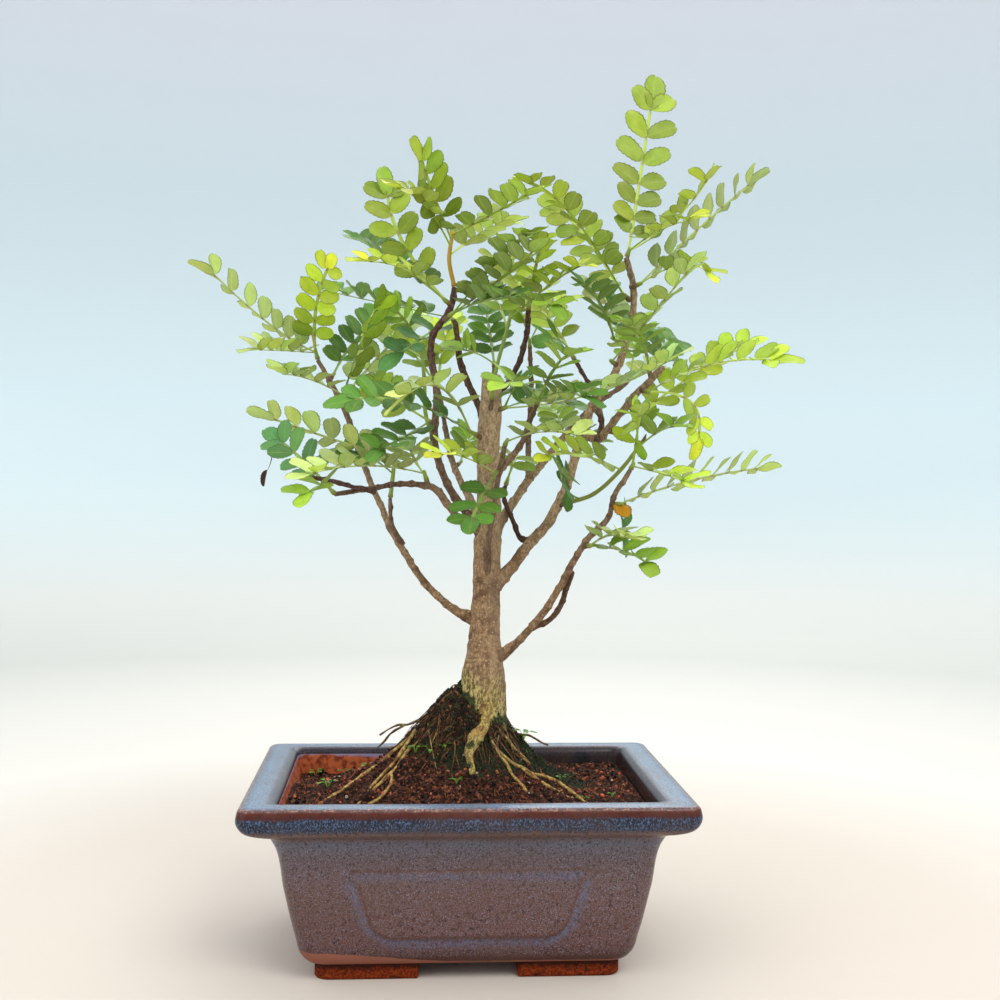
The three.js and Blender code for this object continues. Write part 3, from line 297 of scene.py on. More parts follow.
# Leafy shoots. How far in mm the woody spur reaches along the stem; the stem's points, the first of
# them on the bearing limb's middle line; and the fronds: place along the green stem from 0 to 1, a
# point halfway, the tip, the least number of leaflet pairs, the way the upper side faces, the tone.
SHOOTS = {
    "crown_right": (0.3, [(55.5, -8, 245.5), (56.5, -9, 249)], [
        (0.5, (62, 1, 279), (69, 10, 319), 7, (0.25, -1, 0.15), "lime"),
        (1, (74, -16, 261), (80, -44, 274), 5, (-0.2, -0.5, 1), "young"),
        (1, (66, -29, 253), (75, -49, 252), 4, (-0.1, -0.6, 1), "young"),
    ]),
    "right_shoulder": (2.4, [(57.5, -5.5, 235.5), (60.5, -8.5, 236.5)], [
        (1, (85, 0, 260), (110, 8, 282), 6, (-0.5, 0.6, 0.8), "pale"),
        (1, (76, -19, 242), (82, -39, 230), 3, (0.3, -0.4, 1), "young"),
    ]),
    "crown_inner": (2.5, [(57.5, -5, 231), (54, -8, 233)], [
        (1, (44, 13, 256), (30, 24, 274), 6, (-0.3, -1, 0.5), "lime"),
        (0.6, (32, -24, 259), (13, -41, 265), 6, (-0.5, -0.4, 1), "young"),
    ]),
    "right_side": (2.6, [(54, 1, 208), (51, -3, 209.5)], [
        (1, (62, -29, 224), (75, -45, 242), 5, (-0.6, 0.6, 0.7), "pale"),
    ]),
    "right_back": (2.6, [(56.5, -0.5, 215), (52.5, 4.5, 218.5)], [
        (1, (51, 20, 237), (49, 46, 245), 4, (0, -0.8, 0.6), "pale"),
        (0.5, (58, 26, 230), (61, 40, 235), 3, (0.5, -0.6, 0.7), "dark"),
        (0.8, (44, -18, 229), (34, -39, 233), 4, (0, -0.2, 1), "dark"),
    ]),
    "centre_crown": (0.3, [(21.5, 2, 227.5), (21.5, 0, 231)], [
        (1, (30, -21, 236), (39, -42, 239), 4, (0, -0.3, 1), "young"),
        (0.9, (22, -21, 241), (22, -42, 247), 5, (0, -0.8, 0.9), "young"),
        (0.5, (15, 17, 243), (9, 43, 252), 4, (0, -0.2, 1), "lime"),
    ]),
    "centre_twig": (0.3, [(40.5, 15, 211), (38.5, 16, 214)], [
        (1, (33, 30, 227), (26, 45, 237), 4, (0, -0.9, 0.6), "lime"),
        (0.5, (32, 6, 218), (24, -2, 213), 2, (0, -1, 0.5), "dark"),
    ]),
    "left_crown": (0.3, [(-6, -15, 232.5), (-8, -17, 241.5), (-7, -18, 251.5)], [
        (1, (9, -38, 256), (19, -58, 259), 5, (0.3, -0.5, 1), "lime"),
        (0.9, (-15, -39, 262), (-19, -60, 270), 4, (0, -1, 0.3), "lime"),
        (0.75, (-18, -39, 257), (-30, -60, 258), 4, (-0.2, -0.9, 0.8), "young"),
        (0.6, (6, 3, 256), (19, 23, 264), 4, (0.2, -0.4, 1), "lime"),
    ]),
    "left_upper": (2.4, [(-7, -14, 226.5), (-10, -18, 228.5)], [
        (1, (-26, -19, 251), (-29, -19, 271), 5, (0.1, -1, 0.2), "lime"),
        (0.8, (-29, -2, 245), (-44, 14, 255), 4, (0, -0.25, 1), "dark"),
        (1, (-25, -36, 236), (-41, -54, 234), 4, (0, -0.5, 1), "young"),
    ]),
    "left_inner": (2.4, [(-9.5, -14, 221.5), (-6, -18, 224)], [
        (1, (8, -39, 239), (18, -60, 245), 4, (0.2, -0.6, 0.9), "olive"),
        (0.8, (10, -38, 234), (21, -59, 242), 5, (0.2, -0.2, 1), "olive"),
        (0.5, (5, -36, 226), (13, -56, 223), 4, (0, -0.1, 1), "dark"),
    ]),
    "left_deep": (0.3, [(-4.5, 20, 225), (-6.5, 22, 227.5)], [
        (1, (-37, 30, 234), (-64, 49, 242), 6, (0, -0.15, 1), "dark"),
        (0.6, (-19, -2, 215), (-27, -8, 208), 3, (-0.1, -0.7, 0.8), "teal"),
    ]),
    "left_tip": (0.3, [(-56, 29, 210.5), (-57, 28, 214.5)], [
        (1, (-55, 7, 230), (-47, -14, 245), 5, (0, -1, 0.2), "young"),
        (1, (-77, 26, 226), (-104, 25, 251), 6, (0.3, 0.5, 0.9), "pale"),
        (0.9, (-68, 7, 212), (-78, -14, 210), 4, (0, -0.2, 1), "pale"),
    ]),
    "left_flank": (2.3, [(-47, 26, 194.5), (-45.5, 23, 197.5)], [
        (1, (-59, 3, 202), (-69, -17, 201), 4, (0, -0.2, 1), "pale"),
        (1, (-39, 3, 215), (-30, -17, 231), 4, (0.4, -0.8, 0.6), "olive"),
        (0.7, (-31, 33, 215), (-15, 53, 234), 5, (0.3, -0.4, 1), "pale"),
    ]),
    "left_flank_back": (2.2, [(-52, 28, 202.5), (-50, 32, 206)], [
        (1, (-41, 51, 223), (-25, 70, 240), 5, (0.2, -0.3, 1), "dark"),
    ]),
    "left_low": (0.3, [(-28, 10, 158.5), (-27, 8, 167.5), (-26.5, 7, 174)], [
        (1, (-52, 4, 181), (-79, 2, 190), 5, (0, 0.6, 0.8), "pale"),
        (0.6, (-39, 10, 175), (-51, 32, 175), 3, (-0.2, -0.5, 0.9), "dark"),
    ]),
    "left_arm": (0.3, [(-46, -29, 160.5), (-47.5, -31, 162)], [
        (1, (-59, -18, 173), (-71, -6, 182), 3, (-0.2, -0.8, 0.6), "teal"),
        (0.5, (-51, -46, 163), (-55, -61, 157), 2, (-0.3, -0.6, 0.8), "green"),
    ]),
    "left_arm_mid": (2.5, [(-14.5, -12.5, 163.5), (-16, -17, 168.5)], [
        (1, (-38, -37, 170), (-58, -58, 165), 6, (0, -0.3, 1), "pale"),
        (0.7, (-20, -16, 174), (-22, 3, 183), 3, (-0.1, -0.7, 0.7), "pale"),
    ]),
    "left_back": (2.6, [(-12, -9, 184), (-14.5, -5, 187)], [
        (1, (-25, -26, 179), (-34, -47, 174), 4, (-0.1, -0.5, 0.9), "dark"),
        (0.8, (-29, 0, 196), (-39, 16, 204), 4, (-0.3, -0.8, 0.6), "olive"),
    ]),
    "left_tall": (2.6, [(-12, -8, 178.5), (-15, -2, 187), (-16, 5, 202), (-17, 13, 214)], [
        (1, (-24, 10, 225), (-33, 4, 231), 3, (0, -0.9, 0.5), "green"),
        (0.9, (-27, 24, 218), (-37, 36, 222), 3, (0, -0.6, 0.8), "lime"),
    ]),
    "trunk_left": (5.8, [(7, 1, 180), (-0.5, -6, 183.5)], [
        (1, (-24, -32, 192), (-46, -38, 190), 5, (-0.1, -0.75, 0.7), "dark"),
        (0.9, (-13, -36, 197), (-28, -47, 186), 3, (0, 0.2, 1), "pale"),
    ]),
    "trunk_front": (2.2, [(10.5, -13, 169.5), (8.5, -17, 168)], [
        (1, (-5, -34, 174), (-15, -51, 173), 3, (0, -0.6, 0.9), "young"),
        (0.6, (2, -31, 157), (-2, -45, 149), 2, (-0.3, -1, 0.4), "dark"),
    ]),
    "twig_tip": (0.3, [(12, -14, 177.5), (13, -16, 180)], [
        (1, (24, -42, 182), (35, -58, 179), 4, (0.1, -0.5, 0.9), "pale"),
    ]),
    "top_right": (5.3, [(8, 2, 190.5), (13.5, -3, 192)], [
        (1, (45, -24, 197), (70, -45, 210), 7, (0, -0.4, 1), "pale"),
        (0.8, (30, 19, 196), (47, 31, 192), 4, (0.1, -0.5, 0.9), "dark"),
        (0.7, (16, -16, 199), (20, -30, 201), 3, (0.1, -0.9, 0.5), "dark"),
    ]),
    "top_cut": (4.8, [(9.5, 3, 203.5), (9.5, 6, 207.5)], [
        (1, (9, 26, 222), (8, 46, 237), 4, (0, -1, 0.4), "dark"),
        (0.5, (0, 6, 213), (-10, 18, 214), 3, (-0.2, -0.6, 0.8), "green"),
    ]),
    "green_rod": (10, [(7.5, 1.5, 186), (8.5, -6.5, 200), (14, -8.5, 223.5)], [
        (1, (22, -27, 227), (28, -45, 219), 3, (0.1, -0.5, 0.9), "green"),
        (0.9, (9, 19, 235), (1, 26, 238), 3, (0, -0.5, 0.9), "green"),
    ]),
    "green_arm": (3.1, [
        (33, 3.5, 156.5), (45, -8.5, 161.5), (53.5, -13.5, 170), (61, -16.5, 180.5),
    ], [
        (0.68, (35, -28, 175), (19, -54, 172), 4, (0, -0.7, 0.8), "young"),
        (0.93, (57, -25, 187), (55, -35, 192), 2, (0, -0.9, 0.5), "lime"),
        (0.93, (66, -29, 184), (70, -43, 183), 2, (0.1, -0.2, 1), "green"),
        (0.15, (32, -20, 165), (31, -40, 172), 3, (0, -1, 0.4), "dark"),
    ]),
    "right_reach": (2.6, [(49.5, -4.5, 184), (54, -6, 183)], [
        (1, (82, 1, 205), (108, 1, 219), 7, (0.1, -0.5, 1), "lime"),
    ]),
    "right_wing": (2.5, [(60, -12.5, 198.5), (62, -15.5, 197.5)], [
        (0.8, (83, -40, 206), (103, -56, 204), 6, (0, -0.7, 0.9), "lime"),
        (0.9, (82, -8, 191), (76, -9, 167), 4, (0.4, -0.9, 0.3), "young"),
    ]),
    "right_wing_top": (2.5, [(64, -14, 202), (63.5, -12, 205)], [
        (1, (73, 9, 217), (83, 30, 220), 3, (0.2, -0.8, 0.6), "dark"),
        (0.7, (55, -39, 215), (46, -55, 216), 4, (-0.3, -0.5, 0.9), "green"),
    ]),
    "low_right": (2.3, [(48.5, -23.5, 157.5), (51, -26.5, 158)], [
        (1, (82, -9, 167), (116, 8, 172), 7, (0, 0.6, 0.8), "pale"),
        (0.5, (55, -11, 150), (58, 3, 143), 2, (0.3, -0.9, 0.4), "dark"),
    ]),
    "low_right_hang": (2.4, [(40, -19, 143), (42, -23, 143.5)], [
        (1, (52, -42, 142), (57, -62, 137), 4, (0.1, -0.6, 0.9), "green"),
        (0.8, (47, -42, 148), (52, -62, 145), 4, (0.2, -0.3, 1), "pale"),
    ]),
    "low_right_tip": (0.3, [(54.5, -27, 169.5), (55.5, -28, 172)], [
        (1, (54, -45, 184), (51, -62, 188), 3, (-0.2, -0.9, 0.5), "lime"),
        (0.8, (64, -44, 168), (71, -61, 164), 3, (0.2, -0.5, 0.9), "lime"),
    ]),
    "inner_twig": (0.3, [(14.5, 12, 163.5), (15.5, 13, 166.5)], [
        (1, (18, 16, 173), (21, 39, 175), 2, (0, -1, 0.3), "olive"),
    ]),
    "back_left_spray": (0.3, [(-9.5, 39, 199), (-11, 42, 203)], [
        (1, (-22, 60, 219), (-34, 68, 227), 5, (-0.4, 0.3, 1), "green"),
        (0.9, (-7, 57, 222), (-3, 72, 232), 5, (0.1, 0.5, 1), "lime"),
    ]),
    "back_left_low": (2.5, [(-4, 28.5, 170.5), (-1, 33.5, 173)], [
        (1, (3, 53, 182), (7, 73, 183), 5, (0.5, 0.5, 0.9), "green"),
    ]),
    "back_right_spray": (0.3, [(64, 44, 204.5), (67, 46, 207.5)], [
        (1, (75, 58, 211), (85, 71, 216), 4, (0.4, 0.4, 1), "pale"),
        (0.9, (71, 59, 224), (75, 73, 234), 5, (0.1, 0.5, 1), "green"),
    ]),
    "back_right_mid": (2.6, [(37, 32, 181.5), (40, 38, 182)], [
        (1, (50, 50, 184), (59, 74, 177), 5, (0.4, 0.5, 0.9), "dark"),
        (0.8, (38, 54, 193), (35, 73, 196), 5, (-0.2, 0.5, 0.9), "green"),
    ]),
    "back_top": (0.3, [(25.5, 38, 217), (25.5, 40, 221)], [
        (1, (36, 52, 236), (48, 74, 242), 5, (0.4, 0.4, 1), "lime"),
        (0.9, (21, 52, 237), (16, 74, 245), 5, (-0.2, 0.5, 1), "green"),
    ]),
    "front_spray": (0.3, [(22, -26, 191.5), (23, -28, 194)], [
        (1, (27, -45, 204), (31, -62, 206), 4, (0.2, -0.6, 0.9), "green"),
        (0.8, (14, -43, 198), (4, -58, 193), 4, (-0.2, -0.8, 0.7), "green"),
        (0.7, (31, -44, 195), (39, -60, 189), 4, (0.3, -0.5, 0.9), "dark"),
    ]),
}
# Shoots whose leaflets stand further apart and grow towards the tip: the spacing in mm, the growth
OPEN_SHOOTS = {"crown_right": (8, 0.3)}

# Small fresh weeds in the soil: x, y, height over the soil, reach of the leaves
WEEDS = [
    (-56, 38, 0.5, 3.2), (-49, -6, 0.3, 3.4), (-44, 30, 0.3, 3.6), (-36, 26, 0.5, 3.0),
    (21, -1, 0.6, 4.2), (-18, -12, 0.4, 3.4), (-13, -15, 0.4, 3.0), (-8, -16, 0.3, 2.6),
    (-4, -27, 0.2, 2.4), (40, -22, 0.2, 2.2), (34, -7, 0.2, 2.6), (52, -12, 0.3, 2.0),
]
# Thin loose roots on the mound: x, y, height over the soil, radius
LOOSE_ROOTS = [
    [(-18, -4, 1, 1.1), (-26, -12, 1, 1), (-31, -17, 0.5, 0.8), (-35, -24, -1, 0.6)],
    [(-26, -15, 0, 0.8), (-27, -24, 0.3, 0.8), (-32, -31, 0.4, 0.7), (-38, -35, -0.8, 0.5)],
    [(-22, 2, 5.2, 0.7), (-27, 3.5, 6.6, 0.6), (-31.5, 5, 5, 0.5)],
    [(8, -13, 0.3, 1.2), (15, -20, 0.5, 1), (20, -25, -0.8, 0.7)],
]

# Old leaves: root, tip, the way the upper side faces, length, half width, colour
OLD_LEAVES = [
    ((50, -25.5, 158), (54, -33, 153.5), (0.2, -0.9, 0.4), 7.5, 3.1, (0.93, 0.68, 0.15)),
    ((-71, -7, 168.5), (-72.5, -8, 163), (-0.6, -0.7, 0.2), 6.0, 1.3, (0.30, 0.16, 0.08)),
]
# The dry stalk that the second leaf hangs from, and two cut ones: start, knee, end, radius, colour
DRY_STALKS = [
    ((-70.3, -6, 181.2), (-68, -6.5, 174), (-71, -7, 168.3), 0.46, (0.33, 0.18, 0.10)),
    ((-57, 28, 214.2), (-57.8, 27.5, 220), (-60, 27, 225), 0.55, (0.80, 0.52, 0.22)),
    ((61, -16.5, 180), (61.3, -16.6, 181.3), (61.8, -16.8, 182.6), 0.9, (0.44, 0.27, 0.16)),
]

# Colours of the leaflets. 'dark' is the deep green of older leaflets, and on fronds in shadow deep
# in the crown it is also painted shade.
TONES = {
    "young": (0.80, 0.87, 0.32),
    "lime": (0.74, 0.82, 0.30),
    "green": (0.62, 0.74, 0.27),
    "olive": (0.66, 0.75, 0.30),
    "dark": (0.40, 0.58, 0.22),
    "teal": (0.40, 0.60, 0.34),
    "pale": (0.78, 0.84, 0.57),
}
# Green stems that have another colour
STEM_TINTS = {"left_crown": (0.86, 0.66, 0.20), "green_arm": (0.62, 0.66, 0.26)}


def colour_of(name, description, default):
    return FloatVectorProperty(
        name=name, description=description, default=default, size=3, subtype="COLOR_GAMMA",
        min=0, max=1,
    )


def length_of(name, description, default, least):
    """A length whose default and least value are given in mm."""
    return FloatProperty(
        name=name, description=description, default=default * MM, min=least * MM, unit="LENGTH",
    )


def share_of(name, description, default, most=1):
    return FloatProperty(
        name=name, description=description, default=default, min=0, max=most, subtype="FACTOR",
    )


def number_of(name, description, default):
    return IntProperty(name=name, description="Number of " + description, default=default, min=0)


class PotSettings(bpy.types.PropertyGroup):
    relief_edge: length_of("Panel edge", "Width over which the panel's edge rises", 1.1, 0.2)
    foot_bevel: length_of("Foot bevel", "Rounding of the feet's edges", 0.9, 0)
    roughness: share_of("Roughness", "Roughness of the glaze", 0.27)
    clay: colour_of("Bare clay", "Colour of the unglazed clay", (0.72, 0.36, 0.20))
    blue: colour_of("Glaze blue", "Colour of the glaze where it lies thick", (0.36, 0.46, 0.60))
    brown: colour_of("Glaze brown", "Colour of the glaze on an edge", (0.34, 0.19, 0.13))


class WoodSettings(bpy.types.PropertyGroup):
    ring_step: length_of("Ring spacing", "Distance between a limb's rings of points", 0.8, 0.3)
    fork_flare: share_of("Fork flare", "How much a limb widens at its fork", 0.5, 1.5)
    bark: colour_of("Bark", "Main colour of the bark", (0.67, 0.54, 0.40))
    twig: colour_of("Twigs", "Colour of the thinner, darker wood", (0.40, 0.29, 0.24))
    root: colour_of("Roots", "Colour of the bare roots", (0.77, 0.64, 0.36))
    loose_roots: number_of("Fine roots", "hair-thin roots round the trunk", 36)


class SoilSettings(bpy.types.PropertyGroup):
    grains: number_of("Grains", "loose crumbs on the soil", 3200)
    clods: number_of("Clods", "dark clods at the trunk's foot", 1500)
    rootlets: number_of("Rootlets", "short roots matted over the clods", 650)
    fibres: number_of("Fibres", "short strands in the soil", 1300)
    tufts: number_of("Moss tufts", "moss shoots round the trunk", 2400)
    earth: colour_of("Soil", "Colour of the soil", (0.31, 0.17, 0.12))
    moss: colour_of("Moss", "Colour of the dark moss", (0.17, 0.20, 0.12))


class LeafSettings(bpy.types.PropertyGroup):
    length: length_of("Leaflet length", "Length of a full-grown leaflet", 9.2, 2)
    half_width: length_of("Leaflet half width", "Half a full-grown leaflet's width", 3.15, 0.5)
    fold: share_of("Fold", "How steeply a leaflet's halves rise from its midrib", 0.2)
    rib: colour_of("Leaf stalk", "Colour of the leaf stalks", (0.62, 0.72, 0.28))
    joint: colour_of("Joints", "Colour of a leaf stalk at its joints", (0.47, 0.30, 0.14))


class StageSettings(bpy.types.PropertyGroup):
    lens: FloatProperty(
        name="Lens", description="Focal length of the camera, in millimetres", default=47.66,
        min=10,
    )


SETTINGS = {
    "bonsai_pot": PotSettings,
    "bonsai_wood": WoodSettings,
    "bonsai_soil": SoilSettings,
    "bonsai_leaves": LeafSettings,
    "bonsai_stage": StageSettings,
}


# Numbers and curves


def to_row(points):
    """Millimetres from the pot's middle to metres in the row frame."""
    return (np.asarray(points, float) + POT_MIDDLE) * MM


def linear(colour):
    """A screen colour as linear light: the standard curve of power 2.4 with its straight foot."""
    c = np.asarray(colour, float)
    return np.where(c <= 0.04045, c / 12.92, ((c + 0.055) / 1.055) ** 2.4)


def unit(vectors):
    return vectors / np.linalg.norm(vectors, axis=-1, keepdims=True)


def eased(t):
    """0 below 0, 1 above 1, and 3t²−2t³ between them."""
    t = np.clip(t, 0, 1)
    return t * t * (3 - 2 * t)


def lattice_noise(points, size, seed=0):
    """Smooth noise from −1 to 1: the corners of each `size` mm cube hold values hashed from their
    whole-number places, and a point blends the eight round it by its eased place in the cube."""
    cell = np.asarray(points, float) / size
    base = np.floor(cell).astype(np.int64)
    part = eased(cell - base)
    total = np.zeros(cell.shape[:-1])
    for corner in np.ndindex(2, 2, 2):
        spot = (base + corner) * (73856093, 19349663, 83492791)
        mixed = spot[..., 0] ^ spot[..., 1] ^ (spot[..., 2] + seed * 2654435761)
        mixed = (mixed ^ (mixed >> 13)) * 1274126177
        value = ((mixed ^ (mixed >> 16)) & 0xFFFF) / 32767.5 - 1
        total += value * np.prod(np.where(corner, part, 1 - part), axis=-1)
    return total


def noise_sum(points, *layers):
    """Layers of noise, each with its height, its size in mm and its seed."""
    return sum(height * lattice_noise(points, size, seed) for height, size, seed in layers)


def curve_through(rows, step):
    """A smooth curve through the rows, sampled about every `step` mm. Between two rows it is the
    cubic that leaves and meets them with their slopes, each the mean of the slopes on both sides,
    weighted by the length of the other side. Columns past the third are carried along."""
    rows = np.asarray(rows, float)
    gaps = np.linalg.norm(np.diff(rows[:, :3], axis=0), axis=1)
    steep = np.diff(rows, axis=0) / gaps[:, None]
    near, far = gaps[:-1, None], gaps[1:, None]
    inner = (steep[:-1] * far + steep[1:] * near) / (near + far)
    slope = np.vstack([steep[:1], inner, steep[-1:]])
    run = np.concatenate([[0], np.cumsum(gaps)])
    at = np.linspace(0, run[-1], max(2, round(run[-1] / step) + 1))
    k = np.clip(np.searchsorted(run, at, "right") - 1, 0, len(gaps) - 1)
    h = gaps[k][:, None]
    t = (at - run[k])[:, None] / h
    start = (2 * t**3 - 3 * t**2 + 1) * rows[k] + (t**3 - 2 * t**2 + t) * h * slope[k]
    end = (3 * t**2 - 2 * t**3) * rows[k + 1] + (t**3 - t**2) * h * slope[k + 1]
    return start + end


def arc_lengths(points):
    return np.concatenate([[0], np.cumsum(np.linalg.norm(np.diff(points, axis=0), axis=1))])


def soil_height(x, y):
    """Height of the smooth mound."""
    total = MOUND_BASE
    for height, at_x, at_y, spread, squeeze in MOUND:
        total = total + height * np.exp(-((x - at_x) ** 2 + squeeze * (y - at_y) ** 2) / spread)
    return total


def soil_lumps(x, y):
    """Low swells of the mound."""
    coarse = np.sin(0.31 * x + 1.7) * np.sin(0.37 * y + 0.4)
    return 0.7 * coarse + 0.4 * np.sin(0.83 * x - 0.9 * y + 2.1)


# Meshes


def reworked(mesh, change):
    """Changes a mesh by a function of its bmesh."""
    work = bmesh.new()
    work.from_mesh(mesh)
    change(work)
    work.to_mesh(mesh)
    work.free()


def weld(work):
    """Merges points that lie on each other, which closes a mesh's seams."""
    bmesh.ops.remove_doubles(work, verts=work.verts, dist=0.01 * MM)


def turn_outwards(work):
    """Turns every face of closed bodies to point out."""
    bmesh.ops.recalc_face_normals(work, faces=work.faces)


def grid_faces(rows, columns, closed=False):
    """Quads between neighbouring rows of points; `closed` joins the last column to the first."""
    r = np.arange(rows - 1)[:, None]
    c = np.arange(columns if closed else columns - 1)[None, :]
    n = (c + 1) % columns
    corners = (r * columns + c, r * columns + n, (r + 1) * columns + n, (r + 1) * columns + c)
    return np.stack(np.broadcast_arrays(*corners), axis=-1).reshape(-1, 4)


def fan_faces(centre, ring, turned=False):
    """Triangles from a centre point to a closed ring of points."""
    after = np.roll(ring, -1)
    near, far = (after, ring) if turned else (ring, after)
    return np.stack([np.full(len(ring), centre), near, far, np.full(len(ring), -1)], axis=-1)


def capped_faces(rows, columns, turned=False):
    """A closed grid's faces, and the fans that close its first and last row on the two points
    that follow the grid's own. `turned` turns them all round."""
    ring = np.arange(columns)
    sheet = grid_faces(rows, columns, closed=True)
    return np.concatenate([
        sheet[:, ::-1] if turned else sheet,
        fan_faces(rows * columns, ring, turned=not turned),
        fan_faces(rows * columns + 1, ring + (rows - 1) * columns, turned=turned),
    ])


def repeated_faces(faces, count, points):
    """The faces of `count` copies of a form that has so many points."""
    shift = (np.arange(count) * points)[:, None, None]
    return np.where(faces[None] < 0, -1, faces[None] + shift).reshape(-1, 4)


class Surface:
    """Parts of one mesh. Each has points, faces of four corners (−1 last for a triangle), a
    material number, and for every point a tint and three numbers that its material reads."""

    def __init__(self):
        self.points, self.faces, self.materials, self.tints, self.places = [], [], [], [], []
        self.count = 0

    def add(self, points, faces, material=0, tint=(1, 1, 1), place=(0, 0, 0)):
        points = np.asarray(points, float).reshape(-1, 3)
        faces = np.asarray(faces)
        self.points.append(points)
        self.faces.append(np.where(faces < 0, -1, faces + self.count))
        self.materials.append(np.broadcast_to(material, len(faces)))
        self.tints.append(np.broadcast_to(tint, points.shape))
        self.places.append(np.broadcast_to(place, points.shape))
        self.count += len(points)

    def build(self, name, materials, replaces=(), sharp=None):
        """Makes the piece, on the body `root`. `sharp` is the angle over which an edge is hard."""
        faces = np.concatenate(self.faces)
        corners = faces[faces >= 0]
        sizes = (faces >= 0).sum(axis=1)
        mesh = bpy.data.meshes.new(name)
        mesh.vertices.add(self.count)
        mesh.vertices.foreach_set("co", to_row(np.concatenate(self.points)).ravel())
        mesh.loops.add(len(corners))
        mesh.loops.foreach_set("vertex_index", corners.astype(np.int32))
        mesh.polygons.add(len(faces))
        mesh.polygons.foreach_set("loop_start", (np.cumsum(sizes) - sizes).astype(np.int32))
        materials_of_faces = np.concatenate(self.materials).astype(np.int32)
        mesh.polygons.foreach_set("material_index", materials_of_faces)
        mesh.polygons.foreach_set("use_smooth", np.ones(len(faces), bool))
        tints = np.column_stack([linear(np.concatenate(self.tints)), np.ones(self.count)])
        tint = mesh.attributes.new("tint", "FLOAT_COLOR", "POINT")
        tint.data.foreach_set("color", tints.ravel())
        place = mesh.attributes.new("place", "FLOAT_VECTOR", "POINT")
        place.data.foreach_set("vector", np.concatenate(self.places).astype(float).ravel())
        mesh.update(calc_edges=True)
        if mesh.validate():
            raise RuntimeError(f"{name} has faces that Blender had to mend")
        if sharp is not None:
            mesh.set_sharp_from_angle(angle=math.radians(sharp))
        for material in materials:
            mesh.materials.append(material)
        piece = bpy.data.objects.new(name, mesh)
        bpy.context.scene.collection.objects.link(piece)
        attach(piece, "root")
        if replaces:
            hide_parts(*replaces)
        return piece


def carried_sides(ahead):
    """A side vector for each ring, carried along the path without twist, and the one across it."""
    side = np.empty_like(ahead)
    now = np.array((0.31, 0.87, 0.38))
    for i, way in enumerate(ahead):
        now = unit(now - way * now.dot(way))
        side[i] = now
    return side, np.cross(ahead, side)


def tube(path, sides, relief=None, blunt=0.75):
    """A round surface along a path of x, y, z, radius. Point k of a ring is the path's point plus
    radius times side·cos(2πk/sides) + across·sin(2πk/sides), moved outwards by
    relief(points, along, angle). The ends close on a point, the far one over a quarter ellipse
    that is `blunt` radii long. Returns the points, the faces and each point's way along."""
    centre, radius = path[:, :3], path[:, 3]
    ahead = unit(np.gradient(centre, axis=0))
    lift = np.radians((30, 55, 75))
    cap = centre[-1] + np.outer(np.sin(lift) * radius[-1] * blunt, ahead[-1])
    along = arc_lengths(np.vstack([centre, cap]))
    centre = np.vstack([centre, cap])
    ahead = np.vstack([ahead, np.repeat(ahead[-1:], len(lift), axis=0)])
    radius = np.concatenate([radius, radius[-1] * np.cos(lift)])
    side, across = carried_sides(ahead)
    angle = 2 * np.pi * np.arange(sides) / sides
    out = side[:, None] * np.cos(angle)[:, None] + across[:, None] * np.sin(angle)[:, None]
    rings = centre[:, None] + out * radius[:, None, None]
    if relief is not None:
        shrink = np.ones(len(radius))
        shrink[-len(lift):] = np.cos(lift)
        height = relief(rings, along[:, None], angle[None]) * shrink[:, None]
        rings = rings + out * height[..., None]
    tip = centre[-1] + ahead[-1] * radius[-len(lift) - 1] * blunt * (1 - math.sin(lift[-1]))
    points = np.vstack([rings.reshape(-1, 3), centre[:1], tip[None]])
    reached = np.concatenate([np.repeat(along, sides), [0, along[-1]]])
    return points, capped_faces(len(rings), sides), reached


# Materials


